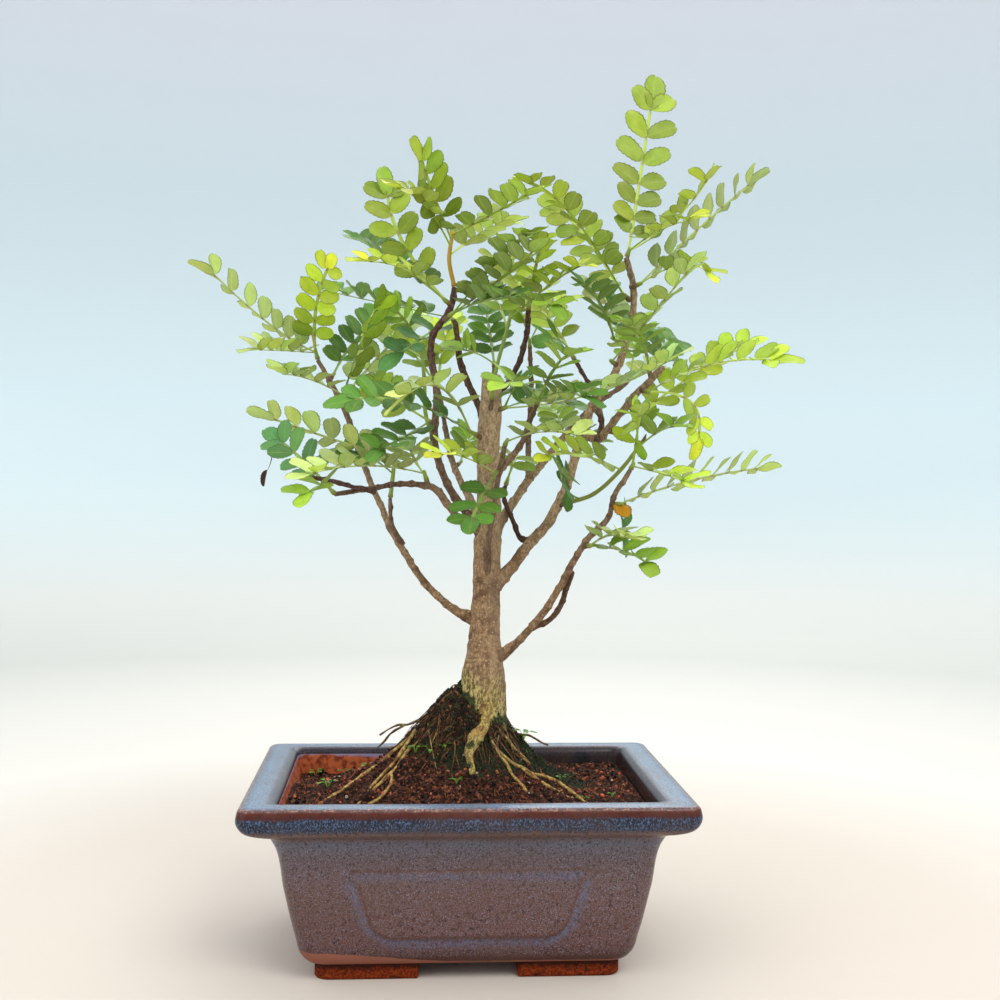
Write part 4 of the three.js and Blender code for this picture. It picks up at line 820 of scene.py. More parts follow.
class Finish:
    """One procedural material, with short ways to make and join its nodes."""

    def __init__(self, name, roughness, specular=0.5):
        self.material = bpy.data.materials.new(name)
        self.material.use_nodes = True
        self.tree = self.material.node_tree
        self.shader = self.tree.nodes["Principled BSDF"]
        self.shader.inputs["Roughness"].default_value = roughness
        self.shader.inputs["Specular IOR Level"].default_value = specular
        self.spot = self.node("ShaderNodeTexCoord").outputs["Object"]

    def node(self, kind, inputs=None, **settings):
        made = self.tree.nodes.new(kind)
        for key, value in settings.items():
            setattr(made, key, value)
        for key, value in (inputs or {}).items():
            self.put(made.inputs[key], value)
        return made

    def put(self, socket, value):
        if isinstance(value, bpy.types.NodeSocket):
            self.tree.links.new(value, socket)
        elif socket.type == "RGBA" and len(value) == 3:
            socket.default_value = (*linear(value), 1)
        else:
            socket.default_value = value

    def attribute(self, name, output="Color"):
        return self.node("ShaderNodeAttribute", attribute_name=name).outputs[output]

    def place(self):
        """The three numbers that each point of the mesh carries."""
        return self.node("ShaderNodeSeparateXYZ", {0: self.attribute("place", "Vector")}).outputs

    def axes(self):
        """The object's own X, Y and Z in metres."""
        return self.node("ShaderNodeSeparateXYZ", {0: self.spot}).outputs

    def stretched(self, x, y, z):
        return self.node("ShaderNodeMapping", {"Vector": self.spot, "Scale": (x, y, z)}).outputs[0]

    def noise(self, size, detail=2.0, rough=0.55, spot=None):
        """Noise whose blotches are about `size` mm."""
        inputs = {
            "Vector": spot or self.spot, "Scale": 1 / (size * MM), "Detail": detail,
            "Roughness": rough,
        }
        return self.node("ShaderNodeTexNoise", inputs).outputs["Fac"]

    def cells(self, size, output="Distance"):
        inputs = {"Vector": self.spot, "Scale": 1 / (size * MM)}
        return self.node("ShaderNodeTexVoronoi", inputs).outputs[output]

    def math(self, operation, a, b=0.0, clamp=False):
        made = self.node("ShaderNodeMath", {0: a, 1: b}, operation=operation, use_clamp=clamp)
        return made.outputs[0]

    def times(self, a, b):
        return self.math("MULTIPLY", a, b)

    def plus(self, a, b):
        return self.math("ADD", a, b)

    def wander(self, size, reach, detail=3):
        """Noise round 0."""
        return self.times(self.math("SUBTRACT", self.noise(size, detail), 0.5), reach)

    def between(self, value, low, high):
        """The value's way from low to high, smoothed and clamped."""
        inputs = {"Value": value, 1: low, 2: high, 3: 0.0, 4: 1.0}
        made = self.node("ShaderNodeMapRange", inputs, interpolation_type="SMOOTHSTEP")
        return made.outputs[0]

    def patches(self, low, high, *noise):
        """Blotches of noise: 0 where it is under `low`, 1 where it is over `high`."""
        return self.between(self.noise(*noise), low, high)

    def ramp(self, value, stops, colours=True):
        made = self.node("ShaderNodeValToRGB", {"Fac": value})
        elements = made.color_ramp.elements
        while len(elements) < len(stops):
            elements.new(1.0)
        for element, (position, colour) in zip(elements, stops):
            element.position = position
            element.color = (*linear(colour), 1) if colours else (colour, colour, colour, 1)
        return made.outputs["Color"]

    def mix(self, factor, a, b, blend="MIX"):
        made = self.node("ShaderNodeMix", data_type="RGBA", blend_type=blend)
        for index, value in ((0, factor), (6, a), (7, b)):
            self.put(made.inputs[index], value)
        return made.outputs[2]

    def coat(self, below, mask, share, colour):
        """A colour over the one below, where the mask says and at most by its share."""
        return self.mix(self.times(mask, share), below, colour)

    def colour(self, value):
        self.put(self.shader.inputs["Base Color"], value)

    def roughness(self, value):
        self.put(self.shader.inputs["Roughness"], value)

    def bump(self, height, depth, strength=0.6):
        """Relief of about `depth` mm from a height of 0 to 1."""
        inputs = {"Height": height, "Distance": depth * MM, "Strength": strength}
        self.put(self.shader.inputs["Normal"], self.node("ShaderNodeBump", inputs).outputs[0])


# Pot


def rectangle_ring(half_x, half_y, radius, long_steps, short_steps, corner_steps):
    """A rounded rectangle's points, anticlockwise from the middle of the front: each straight side
    in equal steps and each corner an arc. Inputs may be arrays, which gives a ring for each."""
    half_x, half_y, radius = (np.asarray(v, float)[..., None] for v in (half_x, half_y, radius))
    flat_x, flat_y = half_x - radius, half_y - radius
    level = np.linspace(0, 1, long_steps // 2 + 1)
    upright = np.linspace(-1, 1, short_steps + 1)[1:]
    arc = np.linspace(0, np.pi / 2, corner_steps + 1)[1:]
    xs = [flat_x * level, flat_x + radius * np.sin(arc), half_x + 0 * upright]
    ys = [-half_y + 0 * level, -flat_y - radius * np.cos(arc), flat_y * upright]
    xs += [flat_x + radius * np.cos(arc), flat_x * level[::-1][1:]]
    ys += [flat_y + radius * np.sin(arc), half_y + 0 * level[1:]]
    x, y = np.concatenate(xs, axis=-1), np.concatenate(ys, axis=-1)
    left = slice(-2, 0, -1)
    return np.concatenate([x, -x[..., left]], axis=-1), np.concatenate([y, y[..., left]], axis=-1)


def pot_profile():
    """The pot's wall from the edge of its underside to the edge of its floor, as smooth rows."""
    outer, top, inner = (
        curve_through([(x, 0, z, y, r) for z, x, y, r in table], step)
        for table, step in ((OUTER_WALL, 0.75), (RIM_TOP, 0.9), (INNER_WALL, 1.6))
    )
    rows = np.vstack([outer, top[1:], inner[1:]])
    run = arc_lengths(rows[:, [0, 2]])
    return rows[:, 2], rows[:, 0], rows[:, 3], rows[:, 4], run / run[-1], len(outer), len(top)


def panel_inside(x, z):
    """How far a point of the long wall is inside the panel's outline, in mm: the least of its
    distances to the top, the bottom and the slanting side, with the lower corners rounded."""
    p = PANEL
    slant = (p["half"] - p["low"]) / (p["top"] - p["bottom"])
    side = (p["low"] + slant * (z - p["bottom"]) - np.abs(x)) / math.hypot(1, slant)
    above, below = p["top"] - z, z - p["bottom"]
    into_corner = (np.maximum(PANEL_CORNER - way, 0) for way in (side, below))
    return np.minimum(above, PANEL_CORNER - np.hypot(*into_corner))


def glaze_run(profile, height, where):
    """The part of the wall's run, 0 to 1, at a height outside or inside."""
    z, _, _, _, run, outer, top = profile
    if where == "outside":
        return float(np.interp(height, z[:outer], run[:outer]))
    if where == "top":
        return float(np.interp(height, (0, 1), (run[outer], run[outer + top - 2])))
    return float(np.interp(-height, -z[outer + top:], run[outer + top:]))


def floor_half(outline_x, outline_y, side):
    """Half of a flat floor with a round drain hole, between x 0 and the outline on one side: each
    point of the outline and of the seam at x 0 is joined by a straight row to the hole's edge in
    the same direction from the hole's middle. Returns x, y as rows by columns."""
    seam = np.linspace(outline_y[-1], outline_y[0], SEAM_STEPS + 1)[1:-1]
    x = np.concatenate([outline_x, np.zeros(len(seam))])
    y = np.concatenate([outline_y, seam])
    middle = np.array([side * DRAIN_X, 0.0])
    out = unit(np.stack([x, y], axis=-1) - middle)
    near = middle + DRAIN_RADIUS * out
    t = np.linspace(0, 1, HOLE_STEPS + 1)[:, None]
    return x + (near[:, 0] - x) * t, y + (near[:, 1] - y) * t


def glaze(settings, profile):
    """Blue over brown stoneware glaze: bands along the wall's run, thin and brown on edges, pooled
    blue in hollows, speckled all over, and bare clay near the foot and inside at the left."""
    f = Finish("speckled_glaze", settings.roughness, 0.24)
    run, pool, _ = f.place()
    along = f.plus(run, f.wander(7, 0.012))

    def at(height, where="outside"):
        return glaze_run(profile, height, where)

    def stops(table):
        return [(at(height, where), value) for where, rows in table for height, value in rows]

    base = f.ramp(along, stops(GLAZE_BANDS))
    freckles = f.ramp(along, stops(GLAZE_FRECKLES), colours=False)
    runs = f.patches(0.46, 0.66, 0.45, 5, 0.75, f.stretched(1, 1, 0.6))
    fine = f.patches(0.5, 0.66, 0.36, 4, 0.75)
    grain = f.mix(f.between(along, at(50), at(52.5)), fine, runs)
    fleck = f.mix(f.between(along, at(44), at(50)), (0.58, 0.59, 0.68), settings.blue)
    speckled = f.mix(f.times(grain, freckles), base, fleck)
    dark_grain = f.patches(0.52, 0.64, 0.8, 3, 0.7, f.stretched(1, 1, 0.8))
    spotted = f.coat(speckled, dark_grain, 0.7, (0.10, 0.08, 0.09))
    worn = f.between(along, at(59.1), at(59.5))
    worn = f.times(worn, f.between(along, at(0.1, "top"), at(0.02, "top")))
    worn = f.times(worn, f.patches(0.5, 0.62, 1.2, 4, 0.75))
    spotted = f.coat(spotted, worn, 0.8, (0.68, 0.52, 0.44))
    lip = f.times(f.between(along, at(49.5), at(50.5)), f.between(along, at(53), at(52)))
    rust = f.times(lip, f.patches(0.56, 0.66, 2.6, 4, 0.7))
    spotted = f.coat(spotted, rust, 0.7, (0.52, 0.32, 0.14))
    thick = f.times(f.math("MAXIMUM", pool, 0.0), 0.6)
    thin = f.times(f.math("MAXIMUM", f.times(pool, -1.0), 0.0), 0.8)
    soft = f.times(thick, f.patches(0.3, 0.66, 1.1, 4, 0.7))
    pooled = f.mix(soft, spotted, (0.36, 0.43, 0.56))
    edged = f.mix(thin, pooled, settings.brown)
    cloud = f.patches(0.42, 0.68, 16, 3)
    clouded = f.coat(edged, cloud, 0.22, (0.36, 0.26, 0.22))
    parts = f.axes()
    inside = f.between(run, at(59, "inside"), at(57.6, "inside"))
    wobble = f.wander(9, 0.04)
    leftward = f.between(f.plus(parts[0], wobble), -0.028, -0.036)
    bare = f.times(inside, leftward)
    clay = f.mix(f.patches(0.42, 0.64, 2.4, 4), settings.clay, (0.46, 0.18, 0.09))
    drip = f.between(f.plus(along, wobble), at(56.5, "inside"), at(59, "inside"))
    clay = f.coat(clay, drip, 0.9, (0.56, 0.53, 0.64))
    leftmost = f.between(parts[0], -0.004, -0.058)
    edge = f.plus(at(6.3), f.times(leftmost, at(10) - at(6.3)))
    hem = f.between(f.math("SUBTRACT", along, edge), 0.003, -0.001)
    hemmed = f.mix(hem, clouded, (0.54, 0.33, 0.26))
    f.colour(f.mix(bare, hemmed, clay))
    unglazed = f.math("MAXIMUM", bare, hem)
    f.roughness(f.math("ADD", f.times(unglazed, 0.5), settings.roughness, clamp=True))
    f.bump(f.plus(f.noise(1.1, 3), f.times(f.noise(6, 2), 1.5)), 0.14, 0.35)
    return f.material


def shaded_foot_clay():
    """Rough orange clay for the feet, with darker stains. Its colours are darker than the pot's own
    bare clay as painted shade under the pot, and a painted shadow runs along the feet's tops where
    they meet the underside.
    """
    f = Finish("shaded_foot_clay", 0.82, 0.1)
    height = f.axes()[2]
    # Painted shadow along the tops of the feet, just under the pot's body, joined by real stains in
    # patches
    shade_under_body = f.between(f.plus(height, f.times(f.noise(3, 3), 0.003)), 0.004, 0.0062)
    stain_and_shade = f.math("MAXIMUM", shade_under_body, f.patches(0.5, 0.7, 2.6, 4, 0.65))
    # Painted shade: these clay colours are darker than the pot's bare clay because the feet stand
    # in the pot's shade
    grain = f.mix(f.patches(0.4, 0.6, 0.9, 4, 0.7), (0.52, 0.20, 0.06), (0.31, 0.10, 0.03))
    f.colour(f.coat(grain, stain_and_shade, 0.85, (0.13, 0.06, 0.04)))
    f.bump(f.noise(0.6, 4, 0.7), 0.2, 0.6)
    return f.material


def make_body(settings, profile):
    """The wall with its panels, the floor and the underside, as one closed mesh."""
    z, half_x, half_y, radius, run, _, _ = profile
    x, y = rectangle_ring(half_x, half_y, radius, *POT_STEPS)
    height = np.broadcast_to(z[:, None], x.shape)
    outside = np.broadcast_to(run[:, None] < glaze_run(profile, 47, "outside"), x.shape)
    wall = np.abs(y) > (half_y - 0.01)[:, None]
    inside = np.where(outside & wall, panel_inside(x, height), -99)
    edge = settings.relief_edge / MM
    share = eased(inside / edge + 0.5)
    face = PANEL["face"] + PANEL["lean"] * (height - PANEL["bottom"])
    level = np.sign(y) * (np.abs(y) + (face - np.abs(y)) * share)
    low = 0.8 * np.exp(-((inside + 1.7) ** 2) / 3) - 0.8 * np.exp(-((inside - 0.4) ** 2) / 0.3)
    corner = 0.45 + 0.55 * (np.abs(x) / PANEL["half"]) ** 3
    high = corner * np.exp(-((inside - 2.2) ** 2) / 5)
    high -= 0.8 * np.exp(-((inside + 0.2) ** 2) / 0.25)
    pool = np.where(inside > -90, low + (high - low) * eased((height - 33) / 3), 0)
    place = np.stack([np.broadcast_to(run[:, None], x.shape), pool, 0 * pool], axis=-1)
    body = Surface()
    rows, columns = x.shape
    wall_points = np.stack([x, level, height], axis=-1)
    body.add(wall_points, grid_faces(rows, columns, closed=True), place=place.reshape(-1, 3))
    for side in (1, -1):
        add_floors(body, x, y, side)
    piece = body.build(
        "pot_body", [glaze(settings, profile)], ["pot"],
    )
    reworked(piece.data, weld)


def add_floors(body, x, y, side):
    """The underside, the floor and the drain hole's wall on one side of the middle."""
    half = x.shape[1] // 2
    columns = np.arange(half + 1)
    if side < 0:
        columns = (columns + half) % x.shape[1]
    rings = []
    for row, height in ((0, UNDERSIDE_Z), (-1, FLOOR_Z)):
        flat_x, flat_y = floor_half(x[row, columns], y[row, columns], side)
        rings.append(np.stack([flat_x, flat_y, np.full(flat_x.shape, height)], axis=-1))
    under, floor = rings
    rows, count = under.shape[:2]
    quads = grid_faces(rows, count, closed=True)
    body.add(under, quads[:, ::-1], place=(0.0, 0, 0))
    body.add(floor, quads, place=(1.0, 0, 0))
    hole = np.stack([under[-1], floor[-1]])
    body.add(hole, grid_faces(2, count, closed=True)[:, ::-1], place=(0.0, 0, 0))


def make_feet(settings):
    """Each foot is a bar bent round a corner: a box section carried between an outer and an
    inner line, each a straight, a quarter arc and a straight."""
    f = FOOT
    arc = np.linspace(np.pi / 2, 0, 8)
    bend = np.stack([np.cos(arc), np.sin(arc)], axis=-1)
    in_line = np.array([f["out_x"] - f["bar"], f["out_y"] - f["bar"]])
    outer = np.array([f["out_x"], f["out_y"]]) - f["corner"] + f["corner"] * bend
    inner = in_line - FOOT_INNER_CORNER + FOOT_INNER_CORNER * bend
    outer = np.vstack([(f["in_x"], f["out_y"]), outer, (f["out_x"], f["in_y"])])
    inner = np.vstack([(f["in_x"], in_line[1]), inner, (in_line[0], f["in_y"])])
    section = ((outer, 0), (outer, FOOT_TOP), (inner, FOOT_TOP), (inner, 0))
    bar = np.stack([np.column_stack([line, np.full(len(line), z)]) for line, z in section], 1)
    count = len(bar)
    ends = [[0, 1, 2, 3], [4 * count - 1, 4 * count - 2, 4 * count - 3, 4 * count - 4]]
    faces = np.vstack([grid_faces(count, 4, closed=True), ends])
    feet = Surface()
    for right in (1, -1):
        for back in (1, -1):
            feet.add(bar.reshape(-1, 3) * (right, back, 1), faces)
    piece = feet.build("pot_feet", [shaded_foot_clay()], ["pot"], sharp=40)
    reworked(piece.data, turn_outwards)
    bevel = piece.modifiers.new("worn_edges", "BEVEL")
    bevel.width = settings.foot_bevel
    bevel.segments = 3


class BONSAI_OT_pot(bpy.types.Operator):
    """Build the glazed pot with its panels, drain holes and feet"""

    bl_idname = "bonsai.pot"
    bl_label = "Pot"

    def execute(self, context):
        settings = context.scene.bonsai_pot
        profile = pot_profile()
        make_body(settings, profile)
        make_feet(settings)
        return {"FINISHED"}


# Soil


def inner_sizes(z):
    """Half length, half depth and corner radius of the inside of the pot at a height."""
    rows = np.array(INNER_WALL[::-1], float)
    return tuple(np.interp(z, rows[:, 0], rows[:, i]) for i in (1, 2, 3))


def ground_height(x, y):
    """Height of the crumbly soil surface: the smooth mound, its lumps and two sizes of noise, all
    but the mound fading out within 3 mm of the pot's wall."""
    half_x, half_y, _ = inner_sizes(SOIL_EDGE)
    near_wall = np.minimum(half_x - np.abs(x), half_y - np.abs(y))
    spot = np.stack([x, y, 0 * x], axis=-1)
    rough = soil_lumps(x, y) + 1.2 * lattice_noise(spot, 3.6, 3)
    rough = rough + 0.8 * lattice_noise(spot, 1.6, 4)
    return soil_height(x, y) + (rough - 0.3) * eased(near_wall / 3)


def on_ground(x, y, lift=0.0):
    """Points at a height over the soil surface."""
    return np.column_stack([x, y, ground_height(x, y) + lift])


def random_turns(rng, count):
    """Turning matrices from random unit quaternions."""
    w, x, y, z = unit(rng.normal(size=(count, 4))).T
    rows = [
        [1 - 2 * (y * y + z * z), 2 * (x * y - w * z), 2 * (x * z + w * y)],
        [2 * (x * y + w * z), 1 - 2 * (x * x + z * z), 2 * (y * z - w * x)],
        [2 * (x * z - w * y), 2 * (y * z + w * x), 1 - 2 * (x * x + y * y)],
    ]
    return np.moveaxis(np.array(rows), 2, 0)


def icosahedron():
    """Its twelve corners lie on three golden rectangles; the faces join neighbours."""
    g = (1 + math.sqrt(5)) / 2
    corners = unit(np.array([
        (-1, g, 0), (1, g, 0), (-1, -g, 0), (1, -g, 0), (0, -1, g), (0, 1, g),
        (0, -1, -g), (0, 1, -g), (g, 0, -1), (g, 0, 1), (-g, 0, -1), (-g, 0, 1),
    ], float))
    faces = [
        (0, 11, 5), (0, 5, 1), (0, 1, 7), (0, 7, 10), (0, 10, 11), (1, 5, 9), (5, 11, 4),
        (11, 10, 2), (10, 7, 6), (7, 1, 8), (3, 9, 4), (3, 4, 2), (3, 2, 6), (3, 6, 8),
        (3, 8, 9), (4, 9, 5), (2, 4, 11), (6, 2, 10), (8, 6, 7), (9, 8, 1),
    ]
    return corners, np.column_stack([faces, np.full(20, -1)])


def add_copies(surface, points, faces, spots, sizes, turns, tints):
    """Puts a copy of a small shape at each spot, scaled along its own axes and then turned."""
    placed = np.einsum("nij,nvj->nvi", turns, points[None] * sizes[:, None]) + spots[:, None]
    every = repeated_faces(faces, len(spots), len(points))
    surface.add(placed, every, tint=np.repeat(tints, len(points), axis=0))


def add_strands(surface, starts, knees, ends, radii, tints, segments=4, sides=3, material=0):
    """Thin tapering strands, all at once. Each follows (1−t)²·start + 2t(1−t)·knee + t²·end, and
    its radius falls as 1 − 0.85·t. Both ends close on a point."""
    t = np.linspace(0, 1, segments + 1)[None, :, None]
    a, b, c = (np.asarray(v, float)[:, None] for v in (starts, knees, ends))
    centre = (1 - t) ** 2 * a + 2 * t * (1 - t) * b + t**2 * c
    ahead = unit((1 - t) * (b - a) + t * (c - b) + 1e-6)
    side = unit(np.cross(ahead, np.array((0.36, 0.48, 0.8))))
    across = np.cross(ahead, side)
    angle = (2 * np.pi * np.arange(sides) / sides)[None, None, :, None]
    out = side[:, :, None] * np.cos(angle) + across[:, :, None] * np.sin(angle)
    radius = np.asarray(radii)[:, None, None, None] * (1 - 0.85 * t)[..., None]
    rings = (centre[:, :, None] + out * radius).reshape(len(a), -1, 3)
    points = np.concatenate([rings, centre[:, :1], centre[:, -1:]], axis=1)
    each = points.shape[1]
    every = repeated_faces(capped_faces(segments + 1, sides), len(a), each)
    surface.add(points, every, material, np.repeat(tints, each, axis=0))


def tinted(name, roughness, depth, grain):
    """A rough finish in each point's own tint, mottled lighter and darker."""
    f = Finish(name, roughness, 0.25)
    own = f.attribute("tint")
    mottled = f.mix(f.patches(0.4, 0.62, grain, 4, 0.7), own, (0.5, 0.42, 0.4), "MULTIPLY")
    f.colour(f.mix(0.75, own, mottled))
    f.bump(f.noise(grain, 3, 0.7), depth, 0.7)
    return f.material


def earth(settings):
    """Dark red-brown soil: fibrous mottling, paler crumbs, and dark moss where the points say."""
    f = Finish("crumbly_soil", 0.95, 0.2)
    mossy, _, _ = f.place()
    base = settings.earth
    grain = f.patches(0.44, 0.6, 1.0, 5, 0.75)
    crumbs = f.mix(grain, (0.05, 0.02, 0.015), base)
    rusty = f.mix(f.patches(0.54, 0.64, 2.0, 4, 0.75), crumbs, (0.48, 0.28, 0.18))
    patch = f.plus(mossy, f.math("SUBTRACT", f.noise(3.2, 4, 0.7), 0.5))
    green = f.mix(f.patches(0.4, 0.6, 0.7, 3, 0.7), (0.08, 0.09, 0.06), settings.moss)
    f.colour(f.mix(f.between(patch, 0.42, 0.6), rusty, green))
    f.bump(f.noise(0.5, 5, 0.75), 0.5, 0.9)
    return f.material


def dark_mass(x, y):
    """Where matted roots, moss and black earth hide the foot of the trunk, from 0 to 1."""
    return np.exp(-((x + 1) ** 2 / 330 + (y + 4) ** 2 / 190))


def mossiness(x, y):
    """Where dark moss grows: round the trunk, and over the right of the mound behind."""
    trunk = np.exp(-((x - 2) ** 2 / 420 + (y + 7) ** 2 / 300))
    right = np.exp(-((x - 33) ** 2 / 330 + (y - 1) ** 2 / 170))
    return np.clip(1.2 * trunk + 0.9 * right, 0, 1)


def make_ground(settings):
    """Rings drawn in from the pot's wall over the mound, and down the wall to the floor."""
    edge_x, edge_y = rectangle_ring(*inner_sizes(SOIL_EDGE), *GROUND_STEPS)
    for _ in range(2):
        half_x, half_y, _ = inner_sizes(soil_height(edge_x, edge_y))
        scale_x = (half_x - GAP) / np.abs(edge_x).max()
        scale_y = (half_y - GAP) / np.abs(edge_y).max()
        edge_x, edge_y = edge_x * scale_x, edge_y * scale_y
    shrink = np.linspace(1, 0.012, 76)[:, None]
    x, y = edge_x * shrink, edge_y * shrink
    top = np.stack([x, y, ground_height(x, y)], axis=-1)
    lower = []
    for z in (FLOOR_Z + GAP, 20, 46):
        half_x, half_y, radius = inner_sizes(z)
        ring = rectangle_ring(half_x - GAP, half_y - GAP, radius, *GROUND_STEPS)
        lower.append(np.stack([*ring, np.full(ring[0].shape, z, float)], axis=-1))
    inwards = np.linspace(0.01, 0.96, 20)[:, None, None]
    bottom = lower[0][None] * inwards
    bottom[..., 2] = FLOOR_Z + GAP
    over_mesh = np.abs(np.abs(bottom[..., 0]) - DRAIN_X) < MESH_HALF
    over_mesh &= np.abs(bottom[..., 1]) < MESH_HALF
    bottom[..., 2] += np.where(over_mesh, MESH_ROOM, 0)
    rings = np.concatenate([bottom, np.stack(lower), top])
    rows, columns = rings.shape[:2]
    points = rings.reshape(-1, 3)
    centres = [(0, 0, FLOOR_Z + GAP), *on_ground(np.zeros(1), np.zeros(1))]
    moss = mossiness(points[:, 0], points[:, 1])
    place = np.column_stack([moss, 0 * moss, 0 * moss])
    place = np.vstack([place, [(0, 0, 0), (1, 0, 0)]])
    ground = Surface()
    ground.add(np.vstack([points, centres]), capped_faces(rows, columns), place=place)
    ground.build("soil_mound", [earth(settings)], ["soil"], sharp=60)


def random_spots(rng, count, margin):
    """Random places on the soil, a margin away from the pot's wall."""
    half_x, half_y, _ = inner_sizes(CRUMB_EDGE)
    x = rng.uniform(-half_x + margin, half_x - margin, count)
    y = rng.uniform(-half_y + margin, half_y - margin, count)
    return x, y


def add_crumbs(surface, settings, rng):
    """Loose crumbs: mostly earth, a few pale or rusty, and green ones where moss grows."""
    count = settings.grains
    x, y = random_spots(rng, count, 1.2)
    size = 0.32 + 0.62 * rng.random(count) ** 3
    spots = on_ground(x, y, 0.25 * size)
    sizes = size[:, None] * rng.uniform(0.4, 1.35, (count, 3))
    tint = np.array(settings.earth) * (0.08 + 2.6 * rng.random((count, 1)) ** 1.6)
    tint[:, 0] *= rng.uniform(0.9, 1.15, count)
    kind = rng.random((count, 1))
    tint = np.where(kind > 0.985, (0.75, 0.70, 0.62), tint)
    tint = np.where((kind > 0.93) & (kind < 0.985), (0.66, 0.40, 0.24), tint)
    mossy = mossiness(x, y) > rng.uniform(0.35, 1.0, count)
    green = np.array(settings.moss) * rng.uniform(0.5, 1.2, (count, 1))
    tint = np.clip(np.where(mossy[:, None], green, tint), 0, 1)
    add_copies(surface, *icosahedron(), spots, sizes, random_turns(rng, count), tint)


def add_clods(surface, settings, rng):
    """Dark clods piled up on the matted mass, the biggest towards its middle."""
    x, y = rng.normal(-3, 13, 5 * settings.clods), rng.normal(-4, 9, 5 * settings.clods)
    mass = dark_mass(x, y)
    outside = np.hypot(x - 6, y) > 7.5
    keep = np.flatnonzero(outside & (mass > rng.uniform(0.2, 1.0, len(x))))[:settings.clods]
    x, y, mass = x[keep], y[keep], mass[keep]
    size = rng.uniform(0.3, 1.3, len(x)) * (0.6 + 0.4 * mass)
    spots = on_ground(x, y, rng.uniform(-0.5, 1.5, len(x)) * mass)
    kind = rng.random((len(x), 1))
    brown = np.where(kind > 0.86, (0.36, 0.23, 0.15), (0.24, 0.14, 0.09))
    dark = np.where(kind > 0.4, (0.12, 0.09, 0.06), (0.17, 0.19, 0.10))
    shade = np.where(kind > 0.7, brown, dark) * rng.uniform(0.4, 1.5, (len(x), 1))
    sizes = size[:, None] * rng.uniform(0.5, 1.3, (len(x), 3))
    add_copies(surface, *icosahedron(), spots, sizes, random_turns(rng, len(x)), shade)
    add_rootlets(surface, spots[:settings.rootlets].copy(), rng)


def add_rootlets(surface, start, rng):
    """Short roots that lead away from the trunk, each from a point on the matted mass."""
    out = unit(start[:, :2] - (4, 0))
    fall = rng.uniform(2, 6, (len(start), 1))
    end = start[:, :2] + fall * (out + rng.normal(0, 0.7, out.shape))
    end = on_ground(*end.T, rng.uniform(-0.4, 1.2, len(start)))
    start[:, 2] += rng.uniform(0, 0.8, len(start))
    knee = (start + end) / 2 + rng.normal(0, 0.9, start.shape) + (0, 0, 0.8)
    paleness = rng.random((len(start), 1)) ** 2
    tint = (0.20, 0.12, 0.08) + paleness * np.array((0.42, 0.32, 0.20))
    add_strands(surface, start, knee, end, rng.uniform(0.12, 0.3, len(start)), tint, 5, 4)


def add_fibres(surface, settings, rng):
    """Short brown strands that lie on the soil."""
    count = settings.fibres
    x, y = random_spots(rng, count, 3.5)
    way = rng.uniform(0, 2 * np.pi, count)
    reach = rng.uniform(1.2, 4.5, count)
    half_x, half_y, _ = inner_sizes(CRUMB_EDGE)
    end_x = np.clip(x + reach * np.cos(way), 1 - half_x, half_x - 1)
    end_y = np.clip(y + reach * np.sin(way), 1 - half_y, half_y - 1)
    start = on_ground(x, y, -0.15)
    end = on_ground(end_x, end_y, rng.uniform(-0.3, 0.6, count))
    knee = (start + end) / 2 + rng.normal(0, 0.35, (count, 3)) + (0, 0, 0.6)
    tints = np.clip(np.array((0.44, 0.27, 0.17)) * rng.uniform(0.4, 1.8, (count, 1)), 0, 1)
    add_strands(surface, start, knee, end, rng.uniform(0.1, 0.22, count), tints, 3)


class BONSAI_OT_soil(bpy.types.Operator):
    """Build the mound of soil with its crumbs and fibres"""

    bl_idname = "bonsai.soil"
    bl_label = "Soil"

    def execute(self, context):
        settings = context.scene.bonsai_soil
        make_ground(settings)
        rng = np.random.default_rng(SEED)
        crumbs = Surface()
        add_crumbs(crumbs, settings, rng)
        add_fibres(crumbs, settings, rng)
        add_clods(crumbs, settings, rng)
        crumbs.build("soil_crumbs", [tinted("crumbs", 0.92, 0.3, 0.7)])
        return {"FINISHED"}


class BONSAI_OT_drain_meshes(bpy.types.Operator):
    """Give the meshes over the drain holes their dark plastic"""

    bl_idname = "bonsai.drain_meshes"
    bl_label = "Drain meshes"

    def execute(self, context):
        f = Finish("mesh_plastic", 0.6)
        f.colour(f.mix(f.noise(1.5, 3), (0.08, 0.10, 0.09), (0.13, 0.15, 0.13)))
        f.bump(f.noise(0.4, 2), 0.05, 0.4)
        for name in ("drain_mesh_left", "drain_mesh_right"):
            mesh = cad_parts[name].data
            mesh.materials.clear()
            mesh.materials.append(f.material)
        return {"FINISHED"}


# Wood


def spur_rows(reach, stem):
    """The woody spur that bears a shoot, from inside its limb."""
    start, after = (np.array(p, float) for p in stem[:2])
    end = start + unit(after - start) * reach
    spots = (start, (start + end) / 2, end)
    return [(*spot, SPUR_RADIUS * part) for spot, part in zip(spots, SPUR_TAPER)]


def spur_ripple(points, along, angle):
    """Relief of a spur's bark."""
    return noise_sum(points, (0.12, 1.6, 11), (0.45 * 0.12, 1.6 / 2.4, 12))


